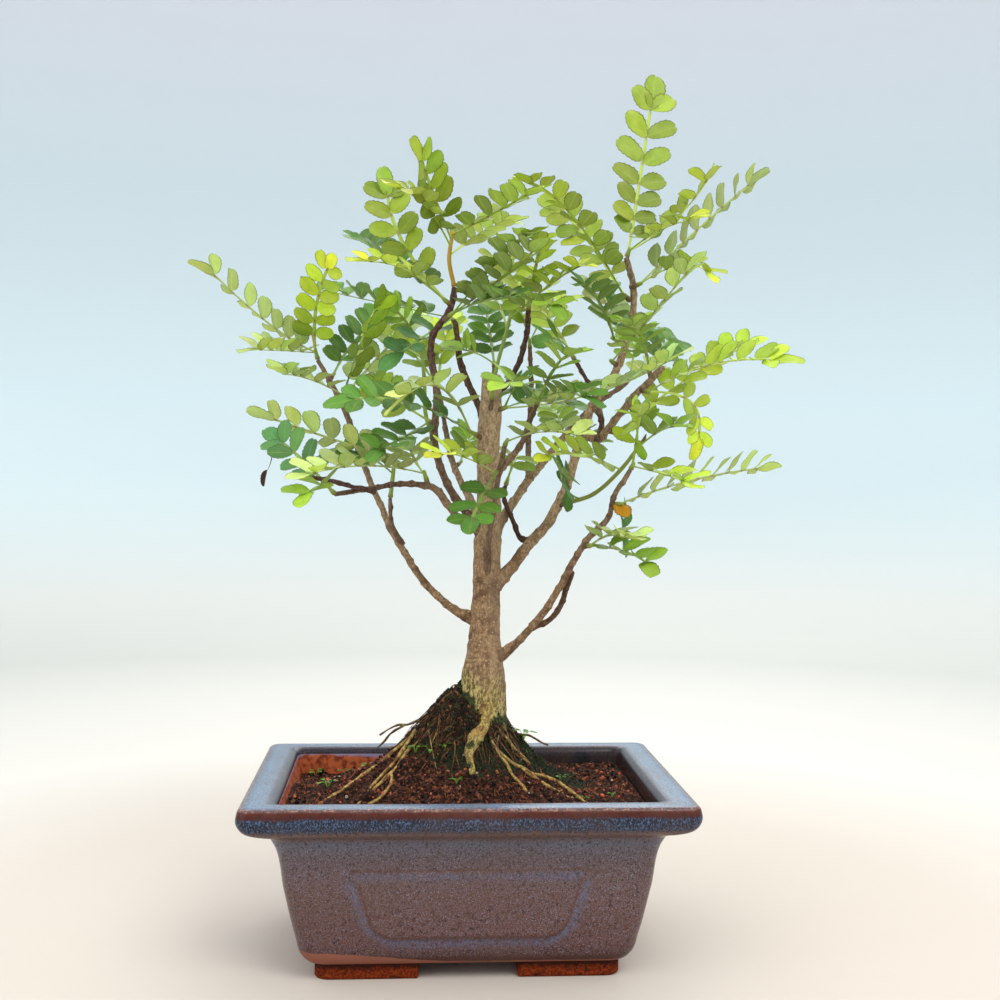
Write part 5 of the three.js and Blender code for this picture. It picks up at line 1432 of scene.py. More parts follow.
def bark(settings):
    """Grey-tan bark: brown streaks and small pores, darker on twigs, yellow-tan on roots, and moss
    in three greens where the points say, with painted light on the trunk's right side and high up."""
    f = Finish("bark", 0.88, 0.3)
    moss, root, twig = f.place()
    fine = f.noise(0.8, 5, 0.7, f.stretched(1, 1, 0.5))
    broad = f.noise(4.5, 4, 0.6)
    light = f.mix(f.between(fine, 0.4, 0.62), (0.51, 0.39, 0.28), settings.bark)
    patched = f.mix(f.between(broad, 0.5, 0.62), light, (0.42, 0.30, 0.21))
    rings = f.noise(1.5, 3, 0.6, f.stretched(0.35, 0.35, 2.4))
    ringed = f.mix(f.times(f.between(rings, 0.55, 0.66), 0.6), patched, (0.38, 0.28, 0.20))
    pores = f.between(f.cells(1.7), 0.22, 0.12)
    spotted = f.coat(ringed, pores, 0.6, (0.84, 0.74, 0.60))
    cracks = f.patches(0.54, 0.64, 1.3, 4, 0.75, f.stretched(1, 1, 0.4))
    parts = f.axes()
    height = parts[2]
    rough = f.plus(f.times(f.between(height, 0.118, 0.09), 0.5), 0.35)
    spotted = f.mix(f.times(cracks, rough), spotted, (0.32, 0.22, 0.15))
    # Painted light: a paler coat on a band down the trunk's right side, where the lamp falls
    sunny = f.times(f.between(parts[0], -0.001, 0.004), f.between(parts[0], 0.010, 0.006))
    spotted = f.coat(spotted, sunny, 0.16, (0.84, 0.74, 0.60))
    # Painted light: the wood grows paler from 125 to 165 mm up, to offset the shade that the
    # foliage casts on the upper trunk
    high = f.times(f.between(height, 0.125, 0.165), 0.45)
    pale = f.mix(f.between(fine, 0.36, 0.6), (0.62, 0.50, 0.38), (0.88, 0.78, 0.64))
    spotted = f.mix(high, spotted, pale)
    dark = f.mix(f.between(fine, 0.42, 0.62), (0.27, 0.18, 0.15), settings.twig)
    dark = f.mix(f.times(f.between(f.cells(1.1), 0.25, 0.1), 0.4), dark, (0.60, 0.52, 0.45))
    wood = f.mix(twig, spotted, dark)
    skin = f.mix(f.patches(0.42, 0.6, 1.0, 5, 0.75), (0.50, 0.38, 0.20), settings.root)
    skin = f.mix(f.patches(0.50, 0.62, 3.0, 4, 0.7), skin, (0.40, 0.27, 0.15))
    wood = f.mix(root, wood, skin)
    olive = f.plus(moss, f.math("SUBTRACT", f.noise(2.6, 5, 0.7), 0.62))
    wash = f.mix(f.between(fine, 0.44, 0.58), (0.34, 0.29, 0.13), (0.80, 0.73, 0.46))
    washed = f.mix(f.times(f.between(olive, 0.0, 0.4), 0.72), wood, wash)
    streak = f.noise(1.6, 5, 0.75, f.stretched(1, 1, 0.4))
    deep = f.plus(moss, f.math("SUBTRACT", streak, 1.12))
    black = f.mix(f.patches(0.42, 0.6, 0.8, 3, 0.7), (0.10, 0.10, 0.06), (0.27, 0.31, 0.14))
    f.colour(f.mix(f.between(deep, 0.0, 0.14), washed, black))
    f.bump(f.plus(fine, f.times(broad, 0.6)), 0.35, 0.8)
    return f.material


def add_trunk(wood, path):
    """The trunk: fluted at the foot, mossy on the left, and darker under its right fork with
    staining and painted shade.
    """

    def relief(points, along, angle):
        z = points[..., 2]
        base = eased((92 - z) / 34)
        flutes = base * (0.9 * np.cos(3 * angle + 0.9) + 0.7 * np.cos(5 * angle + 2.4))
        lumps = noise_sum(points, (0.45, 6.5, 1), (0.22, 2.4, 2))
        fine = 0.1 * lattice_noise(points, 0.9, 5)
        creases = 0.16 * lattice_noise(points * (0.35, 0.35, 2.2), 3.2, 6) * eased((150 - z) / 40)
        away = np.linalg.norm((points - TRUNK_SCAR) * (1, 0.6, 0.75), axis=-1)
        healed = 0.5 * np.exp(-((away - 2.4) ** 2) / 0.6) - 0.5 * np.exp(-(away**2) / 1.6)
        knots = 0.4 * base * lattice_noise(points, 3.4, 7)
        return flutes + lumps + fine + creases + healed + knots

    points, faces, _ = tube(path, TRUNK_SIDES, relief, blunt=0.25)
    x, y, z = points.T
    left = eased((4 - x - 0.2 * y) / 7)
    moss = eased((110 - z) / 30) * (0.5 + 0.4 * left) + 0.5 * eased((92 - z) / 6) * left
    moss += 0.45 * eased((86 - z) / 8) * eased((x - 8) / 2)
    # Staining and painted shade: a darker patch on the front under the right fork, given to the
    # bark as twig darkness
    stain_and_shade = 0.5 * np.exp(-((x - 9.5) ** 2) / 7 - ((z - 126) / 6.5) ** 2) * (y < 0)
    root = 1.1 * np.exp(-((x - 7 - 0.06 * (z - 70)) ** 2) / 13 - ((z - 73) / 17) ** 4) * (y < 0)
    place = np.column_stack([np.clip(moss, 0, 1.2), root, stain_and_shade])
    wood.add(points, faces, place=place)


def parent_radius(curves, name):
    """Radius of the other limb whose middle line is nearest to this one's start."""
    rest = np.vstack([curve for other, curve in curves.items() if other != name])
    away = np.linalg.norm(rest[:, :3] - curves[name][0, :3], axis=1)
    return rest[np.argmin(away), 3]


def add_limb(wood, curves, name, flare, rng):
    """A limb that flares where it leaves its parent, with a knob at each old bud."""
    path = curves[name].copy()
    along = arc_lengths(path[:, :3])
    buried = parent_radius(curves, name)
    thick = path[:, 3].copy()
    past = np.maximum(along - buried, 0)
    path[:, 3] *= 1 + flare * np.exp(-past / (1.6 + 0.4 * buried))
    sway = np.stack([lattice_noise(path[:, :3] * 0.9, 7, 20 + k) for k in range(3)], axis=-1)
    path[:, :3] += 0.35 * sway * eased(past / 6)[:, None] * eased((along[-1] - along) / 8)[:, None]
    knots = np.cumsum(rng.uniform(3.2, 7.5, 40))
    knots = knots[knots < along[-1] - 2]
    turn = rng.uniform(0, 2 * np.pi, len(knots))

    def relief(points, along, angle):
        near = np.exp(-(((along[..., None] - knots) / 0.75) ** 2))
        lean = 0.55 + 0.45 * np.cos(angle[..., None] - turn)
        knobs = (near * lean).sum(axis=-1) * 0.42
        coarse, fine = lattice_noise(points, 1.7, 13), lattice_noise(points, 0.7, 14)
        return knobs + 0.18 * coarse + 0.09 * fine

    sides = LIMB_SIDES[0 if thick.max() > THICK_LIMB else 1]
    points, faces, reached = tube(path, sides, relief, blunt=0.5)
    radius = np.interp(reached, along, thick)
    darkness = TWIG_DARKNESS.get(name, USUAL_DARKNESS)
    twig = np.clip(darkness - 0.12 + 0.5 * eased((1.35 - radius) / 0.4), 0, 1)
    wood.add(points, faces, place=np.column_stack([0 * twig, 0 * twig, twig]))


def add_root(wood, rows, step, rng, dark=False, pale=False):
    """A root that keeps its own height over the mound all along: black-brown and mossy in the
    dark mass at the trunk's foot, bare and yellow beyond it."""
    path = curve_through(rows, step)
    path[:, 2] += soil_height(path[:, 0], path[:, 1])
    along = arc_lengths(path[:, :3])
    shift = rng.uniform(0, 100, 3)
    sway = np.stack([lattice_noise(path[:, :3] + shift, 4.5, 30 + k) for k in range(2)], axis=-1)
    path[:, :2] += 0.8 * sway * eased(along / 12)[:, None]
    path[:, 3] *= 1 + 0.26 * lattice_noise(path[:, :3] + shift, 2.6, 33)
    if not pale:
        path[:, 3] *= 0.64 - 0.22 * dark_mass(path[:, 0], path[:, 1])

    def relief(points, along, angle):
        thick = 0.1 * np.interp(along, (0, 60), (2.4, 0.8))
        return noise_sum(points, (thick, 1.5, 15), (0.05, 0.6, 16))

    points, faces, _ = tube(path, ROOT_SIDES, relief)
    mass = dark_mass(points[:, 0], points[:, 1])
    patchy = lattice_noise(points, 3.2, 34)
    bare = eased(1.35 - 2.5 * mass + 0.3 * patchy) * (0.12 if dark else 1)
    moss = np.clip(1.15 * mass + 0.3 * patchy - 0.1, 0, 1)
    if pale:
        moss = np.clip(0.35 + 0.6 * patchy, 0, 0.8)
    wood.add(points, faces, place=np.column_stack([moss, np.maximum(bare, 0.95 * pale), 1 - bare]))


def add_hair_roots(surface, settings, rng):
    """Hair-thin roots that leave the trunk's foot all round, arch over the soil and dip in."""
    count = settings.loose_roots
    way = rng.uniform(np.pi * 0.55, np.pi * 2.1, count)
    near = rng.uniform(9, 17, count)
    reach = near + rng.uniform(3, 10, count)
    bend = way + rng.normal(0, 0.35, count)
    start = np.column_stack([1 + near * np.cos(way), near * np.sin(way)])
    end = np.column_stack([1 + reach * np.cos(bend), reach * np.sin(bend)])
    start = np.column_stack([start, soil_height(*start.T) + rng.uniform(-0.5, 1.5, count)])
    end = np.column_stack([end, soil_height(*end.T) - rng.uniform(0.2, 1.0, count)])
    knee = (start + end) / 2 + rng.normal(0, 3.2, (count, 3))
    knee[:, 2] = soil_height(*knee[:, :2].T) + rng.uniform(0, 1.8, count)
    tints = np.ones((count, 3))
    before = surface.count
    add_strands(surface, start, knee, end, rng.uniform(0.16, 0.36, count), tints, 8, 6)
    rootness = np.repeat(rng.uniform(0, 1, count) ** 2, (surface.count - before) // count)
    surface.places[-1] = np.column_stack([0.1 + 0 * rootness, rootness, 0.8 + 0 * rootness])


class BONSAI_OT_wood(bpy.types.Operator):
    """Build the trunk, the limbs, the spurs and the roots"""

    bl_idname = "bonsai.wood"
    bl_label = "Wood"

    def execute(self, context):
        settings = context.scene.bonsai_wood
        rng = np.random.default_rng(SEED + 1)
        step = settings.ring_step / MM
        curves = {name: curve_through(rows, step) for name, rows in LIMBS.items()}
        wood = Surface()
        add_trunk(wood, curves["trunk"])
        for name in LIMBS:
            if name != "trunk":
                add_limb(wood, curves, name, settings.fork_flare, rng)
        for reach, stem, _ in SHOOTS.values():
            if reach > AT_TIP:
                path = curve_through(spur_rows(reach, stem), FINE_STEP)
                points, faces, _ = tube(path, STEM_SIDES, spur_ripple)
                wood.add(points, faces, place=(0, 0, SPUR_DARKNESS))
        for number, rows in enumerate(ROOTS):
            add_root(wood, rows, step, rng, number in DARK_ROOTS, number == PALE_ROOT)
        wood.build("wood_and_roots", [bark(settings)], ["wood"])
        fine = Surface()
        for number, rows in enumerate(LOOSE_ROOTS):
            add_root(fine, rows, step, rng, number in DARK_LOOSE_ROOTS)
        add_hair_roots(fine, settings, rng)
        fine.build("fine_roots", [bark(settings)])
        return {"FINISHED"}


# Leafy shoots


def leaf_rows():
    """How far along a leaflet its rows lie: closer together towards both ends."""
    return (1 - np.cos(np.pi * np.linspace(0, 1, LEAF_ROWS + 1))) / 2


def leaf_outline(v):
    """Half width of a leaflet, 0 to 1, at a part of its length: v^0.55·(1−v)^0.48 over its own
    greatest value, waved in and out by turns for the rounded teeth."""
    a, b = 0.55, 0.48
    top = (a / (a + b)) ** a * (b / (a + b)) ** b
    wide = np.maximum(v**a * (1 - v) ** b / top, np.where(v < 0.5, 0.06, 0.2))
    teeth = np.where(np.arange(len(v)) % 2 == 0, 1 + TOOTH_DEPTH, 1 - TOOTH_DEPTH)
    teeth[[0, 1, -1]] = 1
    return wide * teeth


def leaf_faces():
    """Faces of one leaflet: the upper grid, and the under grid that shares its border."""
    rows, columns = LEAF_ROWS + 1, LEAF_COLUMNS + 1
    upper = np.arange(rows * columns).reshape(rows, columns)
    under = upper.copy()
    inner = np.arange((rows - 2) * (columns - 2)).reshape(rows - 2, -1)
    under[1:-1, 1:-1] = rows * columns + inner
    flat = grid_faces(rows, columns)
    return np.concatenate([flat, under.ravel()[flat][:, ::-1]])


def add_leaflets(surface, roots, ways, faces_up, lengths, halves, bends, folds, tints):
    """Leaflets of one frond, all at once. At v along and u across, a leaflet's point is its root
    + v·length along its way + u·half·outline(v) across, raised by fold·|across| and lowered by
    bend·length·v², with each face a little off that sheet and both meeting at the border."""
    v = leaf_rows()[None, :, None]
    u = np.linspace(-1, 1, LEAF_COLUMNS + 1)[None, None, :]
    count = len(roots)
    sizes = (lengths, halves, bends, folds)
    length, half, bend, fold = (np.asarray(n)[:, None, None] for n in sizes)
    across = u * half * leaf_outline(leaf_rows())[None, :, None]
    forward = length * (v - 0.035 * (1 - u**2) * (v > 0.99))
    wave = 0.10 * half * np.sin(7 * v + 2 * np.arange(count)[:, None, None]) * u
    rise = fold * np.abs(across) + wave - bend * length * v**2
    body = np.sqrt(np.clip(1 - u**2, 0, 1)) * np.minimum(1, 8 * v * (1 - v))
    crease = np.where(u == 0, 0.10, 0.0) * np.minimum(1, 6 * v * (1 - v))
    upper = rise + 0.10 * body - crease
    under = (rise - 0.10 * body - 1.4 * crease)[:, 1:-1, 1:-1]
    ways = unit(ways)
    normal = unit(faces_up - (faces_up * ways).sum(-1, keepdims=True) * ways)
    sideways = np.cross(normal, ways)

    def set_out(f, a, r):
        f, a, r = (np.broadcast_to(n, r.shape).reshape(count, -1, 1) for n in (f, a, r))
        return roots[:, None] + f * ways[:, None] - a * sideways[:, None] + r * normal[:, None]

    inner = (slice(None), slice(1, -1), slice(1, -1))
    full = upper.shape
    forward, across = np.broadcast_to(forward, full), np.broadcast_to(across, full)
    points = np.concatenate([
        set_out(forward, across, upper), set_out(forward[inner], across[inner], under),
    ], axis=1)
    flat = (np.broadcast_to(n, full) for n in (u, v, 0 * u))
    spread = [np.concatenate([n.reshape(count, -1), n[inner].reshape(count, -1)], 1) for n in flat]
    place = np.stack(spread, axis=-1).reshape(-1, 3)
    faces = leaf_faces()
    each = points.shape[1]
    is_under = np.tile(np.repeat((0, 1), len(faces) // 2), count)
    tint = np.repeat(tints, each, axis=0)
    surface.add(points, repeated_faces(faces, count, each), is_under, tint, place)


class Frond:
    """One frond's curve. From its base through the halfway point to the tip it is a quadratic
    curve; its upper side faces the given way."""

    def __init__(self, base, middle, tip, face):
        self.base, self.tip = np.asarray(base, float), np.asarray(tip, float)
        self.knee = 2 * np.asarray(middle, float) - (self.base + self.tip) / 2
        self.face = unit(np.asarray(face, float))
        self.length = float(np.linalg.norm(self.tip - self.base))

    def at(self, along):
        """Points, ways ahead, upper normals and sideways vectors at distances along the frond."""
        u = (np.atleast_1d(along) / self.length)[:, None]
        spot = (1 - u) ** 2 * self.base + 2 * u * (1 - u) * self.knee + u**2 * self.tip
        ahead = unit((1 - u) * (self.knee - self.base) + u * (self.tip - self.knee))
        normal = unit(self.face - (self.face * ahead).sum(-1, keepdims=True) * ahead)
        return spot, ahead, normal, np.cross(normal, ahead)


def add_rib(surface, frond, joints, end, rib, red):
    """The frond's stalk: a flat six-sided section with a wing on each edge, narrowed and reddened
    at the joints, round and thicker along its first bare part."""
    along = np.linspace(0, end, max(8, round(end / 1.0)))
    spot, _, normal, sideways = frond.at(along)
    near = np.exp(-(((along[:, None] - joints) / 0.55) ** 2)).sum(axis=-1)
    near = np.clip(near, 0, 1)
    winged = eased((along - PETIOLE + 2) / 3)
    wide = (0.45 + (WING - 0.45) * winged) * (1 - 0.4 * near) * (1 - 0.15 * along / end)
    wide[:2] = (0.62, 0.52)
    thick = 0.34 - 0.12 * along / end + 0.10 * near
    section_x = np.array((1, 0.45, -0.45, -1, -0.45, 0.45))
    section_z = np.array((0.1, 0.62, 0.62, 0.1, -1, -1))
    rings = spot[:, None] + sideways[:, None] * (wide[:, None] * section_x)[..., None]
    rings = rings + normal[:, None] * (thick[:, None] * section_z)[..., None]
    sides = len(section_x)
    points = np.vstack([rings.reshape(-1, 3), spot[:1], spot[-1:]])
    tint = np.asarray(rib) + (np.asarray(red) - rib) * (0.75 * near)[:, None]
    tint = np.vstack([np.repeat(tint, sides, axis=0), tint[:1], tint[-1:]])
    surface.add(points, capped_faces(len(along), sides, turned=True), 2, tint)


def leaf_skin(name, under):
    """A leaf's face in its own tint: a paler midrib and slanting side veins, soft mottling, and on
    the upper face a waxy shine; light comes through it a little."""
    f = Finish(name, 0.6 if under else 0.42, 0.3 if under else 0.42)
    across, along, _ = f.place()
    own = f.attribute("tint")
    wide = f.math("ABSOLUTE", across)
    rib = f.between(wide, 0.10, 0.03)
    slant = f.math("SUBTRACT", f.times(along, 8.5), f.times(wide, 2.2))
    saw = f.math("ABSOLUTE", f.math("SUBTRACT", f.math("FRACT", slant), 0.5))
    veins = f.between(saw, 0.40, 0.49)
    if under:
        pale = f.mix(1.0, own, (0.93, 0.97, 0.72), "SCREEN")
    else:
        pale = f.mix(0.5, own, (0.80, 0.86, 0.42))
    lined = f.mix(f.times(veins, 0.16 if under else 0.10), own, pale)
    lined = f.coat(lined, rib, 0.4, pale)
    blotch = f.patches(0.4, 0.66, 2.6, 3)
    lined = f.coat(lined, blotch, 0.22, f.mix(1.0, lined, (0.72, 0.80, 0.62), "MULTIPLY"))
    if under:
        lined = f.mix(0.42, lined, (0.80, 0.85, 0.58))
    border = f.math("MAXIMUM", wide, f.between(along, 0.9, 1.0))
    lined = f.mix(f.times(f.between(border, 0.84, 0.97), 0.7), lined, (0.34, 0.34, 0.10))
    f.colour(lined)
    f.bump(f.plus(f.times(veins, -0.6), f.noise(0.5, 2)), 0.08, 0.5)
    glow = f.mix(1.0, lined, (1.0, 1.0, 0.6), "MULTIPLY")
    thin = f.node("ShaderNodeBsdfTranslucent", {"Color": glow})
    join = f.node("ShaderNodeMixShader", {0: 0.46, 1: f.shader.outputs[0], 2: thin.outputs[0]})
    f.put(f.tree.nodes["Material Output"].inputs["Surface"], join.outputs[0])
    return f.material


def stalk_skin():
    """Smooth green stalk in its own tint."""
    f = Finish("leaf_stalk", 0.5)
    own = f.attribute("tint")
    f.colour(f.mix(f.times(f.noise(1.4, 3), 0.4), own, (0.42, 0.42, 0.16)))
    f.bump(f.noise(0.7, 2), 0.06, 0.4)
    return f.material


def leaf_skins(name):
    """What a leafy mesh wears: its leaflets' upper sides, their undersides, and its stalks."""
    return [leaf_skin(name + "_upper", False), leaf_skin(name + "_under", True), stalk_skin()]


def stem_corners(reach, stem):
    """The green stem from the spur's end, at least a bud's length long."""
    corners = np.array(stem, float)
    way = unit(corners[1] - corners[0])
    corners[0] += way * (reach + GAP)
    if way.dot(corners[1] - corners[0]) < BUD:
        corners[1] = corners[0] + way * BUD
    return corners


def add_stem(leafy, corners, colour, foot_colour):
    """A green stem, thicker and redder at its foot."""
    radius = np.linspace(STEM_RADIUS, STEM_RADIUS * 0.85, len(corners))
    path = curve_through(np.column_stack([corners, radius]), FINE_STEP)

    def relief(points, along, angle):
        return 0.16 * np.exp(-((along - 0.5) ** 2)) + 0.05 * lattice_noise(points, 1.2, 40)

    points, faces, along = tube(path, STEM_SIDES, relief)
    rib, red = np.array(colour), np.array(foot_colour)
    share = 0.6 * eased(1 - along / 1.8)[:, None]
    leafy.add(points, faces, 2, rib * 0.9 * (1 - share) + red * share)


def add_frond(leafy, frond, pairs, tip_start, growth, tone, settings, rng):
    """A frond of so many pairs and a last leaflet. `growth` widens the steps and the leaflets
    towards the tip."""
    full, half = settings.length / MM, settings.half_width / MM
    step = (tip_start - PETIOLE) / pairs
    order = (np.arange(pairs) + 0.5) / pairs
    t = np.linspace(0, 1, pairs)
    way = (t + growth * t**2) / (1 + growth)
    joints = PETIOLE + 1.5 + (tip_start - 2.1 - PETIOLE) * way
    rise = LIFT + LIFT_WHEN_LEVEL * frond.face[2] ** 2
    size = 0.80 + 0.24 * np.sin(np.pi * (0.15 + 0.75 * order))
    size *= 1 + growth * (1.6 * order - 0.35)
    if tone == "young":
        size *= 0.97 - 0.14 * order
    pair_lift = rng.normal(rise, 6, pairs)
    pair_lean = rng.normal(LEAFLET_LEAN, 4, pairs)
    roots, ways, ups, lengths, halves = [], [], [], [], []
    for side in (1, -1):
        at = joints + rng.normal(0, 0.35, pairs)
        spot, ahead, normal, sideways = frond.at(at)
        lean = np.radians(pair_lean + rng.normal(0, 3, pairs) - 14 * order)[:, None]
        lift = np.radians(pair_lift + rng.normal(0, 4, pairs))[:, None]
        out = side * sideways
        flat = ahead * np.cos(lean) + out * np.sin(lean)
        ways.append(flat * np.cos(lift) + normal * np.sin(lift))
        turned = normal + 0.13 * rng.normal(0, 1, (pairs, 1)) * ahead - 0.18 * out
        ups.append(turned + TO_LIGHT)
        roots.append(spot + out * 0.3)
        fit = size * rng.uniform(0.92, 1.06, pairs)
        lengths.append(full * fit)
        halves.append(np.minimum(half * fit, 0.5 * step) * rng.uniform(0.92, 1.06, pairs))
    spot, ahead, normal, _ = frond.at(tip_start)
    roots.append(spot)
    ways.append(ahead + 0.1 * rng.normal(size=(1, 3)))
    ups.append(normal)
    last = size[-1] * rng.uniform(0.92, 1.08)
    lengths.append([min(TIP_LEAFLET * (1 + 1.2 * growth), 1.3 * full * last)])
    halves.append([1.08 * half * last])
    count = 2 * pairs + 1
    place = np.concatenate([order, order, [1.0]])
    tint = np.array(TONES[tone]) * rng.uniform(0.88, 1.1, (count, 1))
    tint = tint * (0.88 + 0.2 * place)[:, None]
    warm = rng.normal(0, 0.03, count) + (0.10 * (place - 0.4) if tone == "young" else 0)
    tint = tint * (1 + np.column_stack([warm, 0.3 * warm, -warm]))
    # Painted shade: leaflets high in the crown, where most light falls, are darkened, and low ones
    # lightened a little
    tint *= 1.06 - 0.18 * eased((np.concatenate(roots)[:, 2:] - 215) / 60)
    add_leaflets(
        leafy, np.concatenate(roots), np.concatenate(ways), np.concatenate(ups),
        np.concatenate(lengths), np.concatenate(halves), rng.uniform(-0.02, 0.14, count),
        settings.fold + rng.normal(0, 0.07, count), np.clip(tint, 0, 1),
    )
    rib = 0.45 * np.array(settings.rib) + 0.55 * np.array(TONES[tone])
    add_rib(leafy, frond, joints, tip_start + 0.5, rib, np.array(settings.joint))


class BONSAI_OT_shoots(bpy.types.Operator):
    """Build every leafy shoot with its stem, leaf stalks and leaflets"""

    bl_idname = "bonsai.shoots"
    bl_label = "Leafy shoots"

    def execute(self, context):
        settings = context.scene.bonsai_leaves
        rng = np.random.default_rng(SEED + 2)
        skins = leaf_skins("leaf")
        for name, (reach, stem, fronds) in SHOOTS.items():
            leafy = Surface()
            corners = stem_corners(reach, stem)
            add_stem(leafy, corners, STEM_TINTS.get(name, settings.rib), settings.joint)
            run = arc_lengths(corners)
            spacing, most = OPEN_SHOOTS.get(name, (LEAFLET_SPACING, 0))
            for place, middle, tip, pairs, face, tone in fronds:
                at = SUNK + (run[-1] - 2 * SUNK) * place
                base = [np.interp(at, run, corners[:, k]) for k in range(3)]
                frond = Frond(base, middle, tip, face)
                growth = most * (pairs > GROWING_PAIRS)
                tip_start = frond.length - TIP_LEAFLET_START * (1 + 1.5 * growth)
                pairs = max(pairs, round((tip_start - PETIOLE) / spacing))
                add_frond(leafy, frond, pairs, tip_start, growth, tone, settings, rng)
            leafy.build("shoot_" + name + "_leaves", skins, ["shoot_" + name], sharp=75)
        return {"FINISHED"}


# Moss and small weeds


def make_moss(settings, rng):
    """Short curved shoots on the soil, thickest where the moss is, round the trunk's foot."""
    count = settings.tufts
    x = rng.normal(4, 19, count * 4)
    y = rng.normal(-2, 13, count * 4)
    keep = mossiness(x, y) > rng.uniform(0.15, 1.0, len(x))
    keep &= (np.abs(y) < 40) & (np.abs(x) < 57)
    x, y = x[keep][:count], y[keep][:count]
    start = on_ground(x, y, -0.2)
    lean = rng.normal(0, 0.55, (len(x), 3)) + (0, 0, 1)
    reach = rng.uniform(0.6, 1.7, (len(x), 1))
    end = start + unit(lean) * reach
    knee = (start + end) / 2 + rng.normal(0, 0.25, (len(x), 3))
    shade = np.array(settings.moss) * rng.uniform(0.55, 1.5, (len(x), 1))
    fresh = (rng.random(len(x)) > 0.93)[:, None]
    shade = np.where(fresh, (0.38, 0.50, 0.16), shade)
    moss = Surface()
    add_strands(moss, start, knee, end, rng.uniform(0.14, 0.3, len(x)), np.clip(shade, 0, 1), 2)
    moss.build("moss", [tinted("moss_shoots", 0.9, 0.1, 0.5)])


def make_weeds(rng):
    """Each weed is a thin stem that forks into a few small round leaves."""
    weeds = Surface()
    for x, y, lift, reach in WEEDS:
        foot = on_ground(np.array([x]), np.array([y]), -0.3)[0]
        count = int(rng.integers(3, 6))
        turn = rng.uniform(0, 2 * np.pi) + 2 * np.pi * np.arange(count) / count
        out = np.column_stack([np.cos(turn), np.sin(turn), rng.uniform(0.2, 0.9, count)])
        spread = unit(out) * reach * rng.uniform(0.35, 0.6, (count, 1))
        tips = foot + (0, 0, lift + 0.5 * reach) + spread
        starts = np.repeat(foot[None], count, axis=0)
        green = np.array((0.44, 0.66, 0.20)) * rng.uniform(0.8, 1.2, (count, 1))
        add_strands(
            weeds, starts, (starts + tips) / 2 + (0, 0, 0.3 * reach), tips,
            np.full(count, 0.22), np.clip(green * (1.1, 1, 0.9), 0, 1), 4, 4, 2,
        )
        add_leaflets(
            weeds, tips, out * (1, 1, 0.15), np.tile((0.0, 0.0, 1.0), (count, 1)),
            rng.uniform(0.5, 0.8, count) * reach, rng.uniform(0.2, 0.3, count) * reach,
            rng.uniform(0, 0.3, count), np.full(count, 0.1), np.clip(green, 0, 1),
        )
    weeds.build("weeds", leaf_skins("weed"))


def make_old_leaves():
    """A yellowed leaflet and a dry one that curls at the end of its thin hanging stalk."""
    old = Surface()
    for root, tip, face, length, half, colour in OLD_LEAVES:
        root, way = np.array([root], float), np.array([tip], float) - root
        face = np.array([face], float)
        fold = 0.2 if colour[1] > 0.5 else 0.9
        add_leaflets(old, root, way, face, [length], [half], [0.15], [fold], [colour])
    starts, knees, ends, radii, tints = (np.array(rows, float) for rows in zip(*DRY_STALKS))
    add_strands(old, starts, knees, ends, radii, tints, 10, 6, 2)
    old.build("old_leaves", leaf_skins("old"))


class BONSAI_OT_small_growth(bpy.types.Operator):
    """Build the moss round the trunk and the small fresh weeds"""

    bl_idname = "bonsai.small_growth"
    bl_label = "Moss and weeds"

    def execute(self, context):
        settings = context.scene.bonsai_soil
        rng = np.random.default_rng(SEED + 3)
        make_moss(settings, rng)
        make_weeds(rng)
        make_old_leaves()
        return {"FINISHED"}


# Stage


def aim(piece, place, target):
    """Puts a lamp at a place, in metres, and turns it to face the target."""
    piece.location = place
    piece.rotation_euler = (Vector(target) - Vector(place)).to_track_quat("-Z", "Y").to_euler()


def make_sweep():
    """A round floor that turns up into a wall: a profile of radius and height carried round."""
    arc = np.linspace(0, np.pi / 2, 13)
    radius = np.concatenate([[0.02, 0.3, 0.7], 1.0 + 0.6 * np.sin(arc), [1.6]])
    height = np.concatenate([[0, 0, 0], 0.6 - 0.6 * np.cos(arc), [1.5]])
    turn = 2 * np.pi * np.arange(SWEEP_SIDES) / SWEEP_SIDES
    x = radius[:, None] * np.cos(turn)
    y = radius[:, None] * np.sin(turn)
    z = np.broadcast_to(height[:, None], x.shape)
    points = np.vstack([np.stack([x, y, z], axis=-1).reshape(-1, 3), [(0, 0, 0)]])
    count = x.size
    faces = grid_faces(*x.shape, closed=True)[:, ::-1].tolist()
    faces += [(k, (k + 1) % SWEEP_SIDES, count) for k in range(SWEEP_SIDES)]
    mesh = bpy.data.meshes.new("floor_and_backdrop")
    mesh.from_pydata(points.tolist(), [], faces)
    mesh.shade_smooth()
    f = Finish("pale_sweep", 0.95)
    height = f.axes()[2]
    level = f.node("ShaderNodeMapping", {"Vector": f.spot, "Scale": (1, 1, 0)}).outputs[0]
    radius = f.node("ShaderNodeVectorMath", {0: level}, operation="LENGTH").outputs["Value"]
    run = BACKDROP[-1][0]
    way = f.math("DIVIDE", f.plus(radius, height), run)
    f.colour(f.ramp(way, [(at / run, colour) for at, colour in BACKDROP]))
    mesh.materials.append(f.material)
    sweep = bpy.data.objects.new("floor_and_backdrop", mesh)
    bpy.context.scene.collection.objects.link(sweep)


def make_lamps(scene):
    """Even light from all round, and the soft lamps."""
    world = bpy.data.worlds.new("soft_room")
    world.use_nodes = True
    light = world.node_tree.nodes["Background"]
    light.inputs["Color"].default_value, light.inputs["Strength"].default_value = ROOM_LIGHT
    scene.world = world
    for name, place, size, power, colour in LAMPS:
        lamp = bpy.data.lights.new(name, "AREA")
        lamp.shape = "DISK"
        lamp.size = size
        lamp.energy = power
        lamp.color = colour
        holder = bpy.data.objects.new(name, lamp)
        scene.collection.objects.link(holder)
        aim(holder, place, LAMP_TARGET)


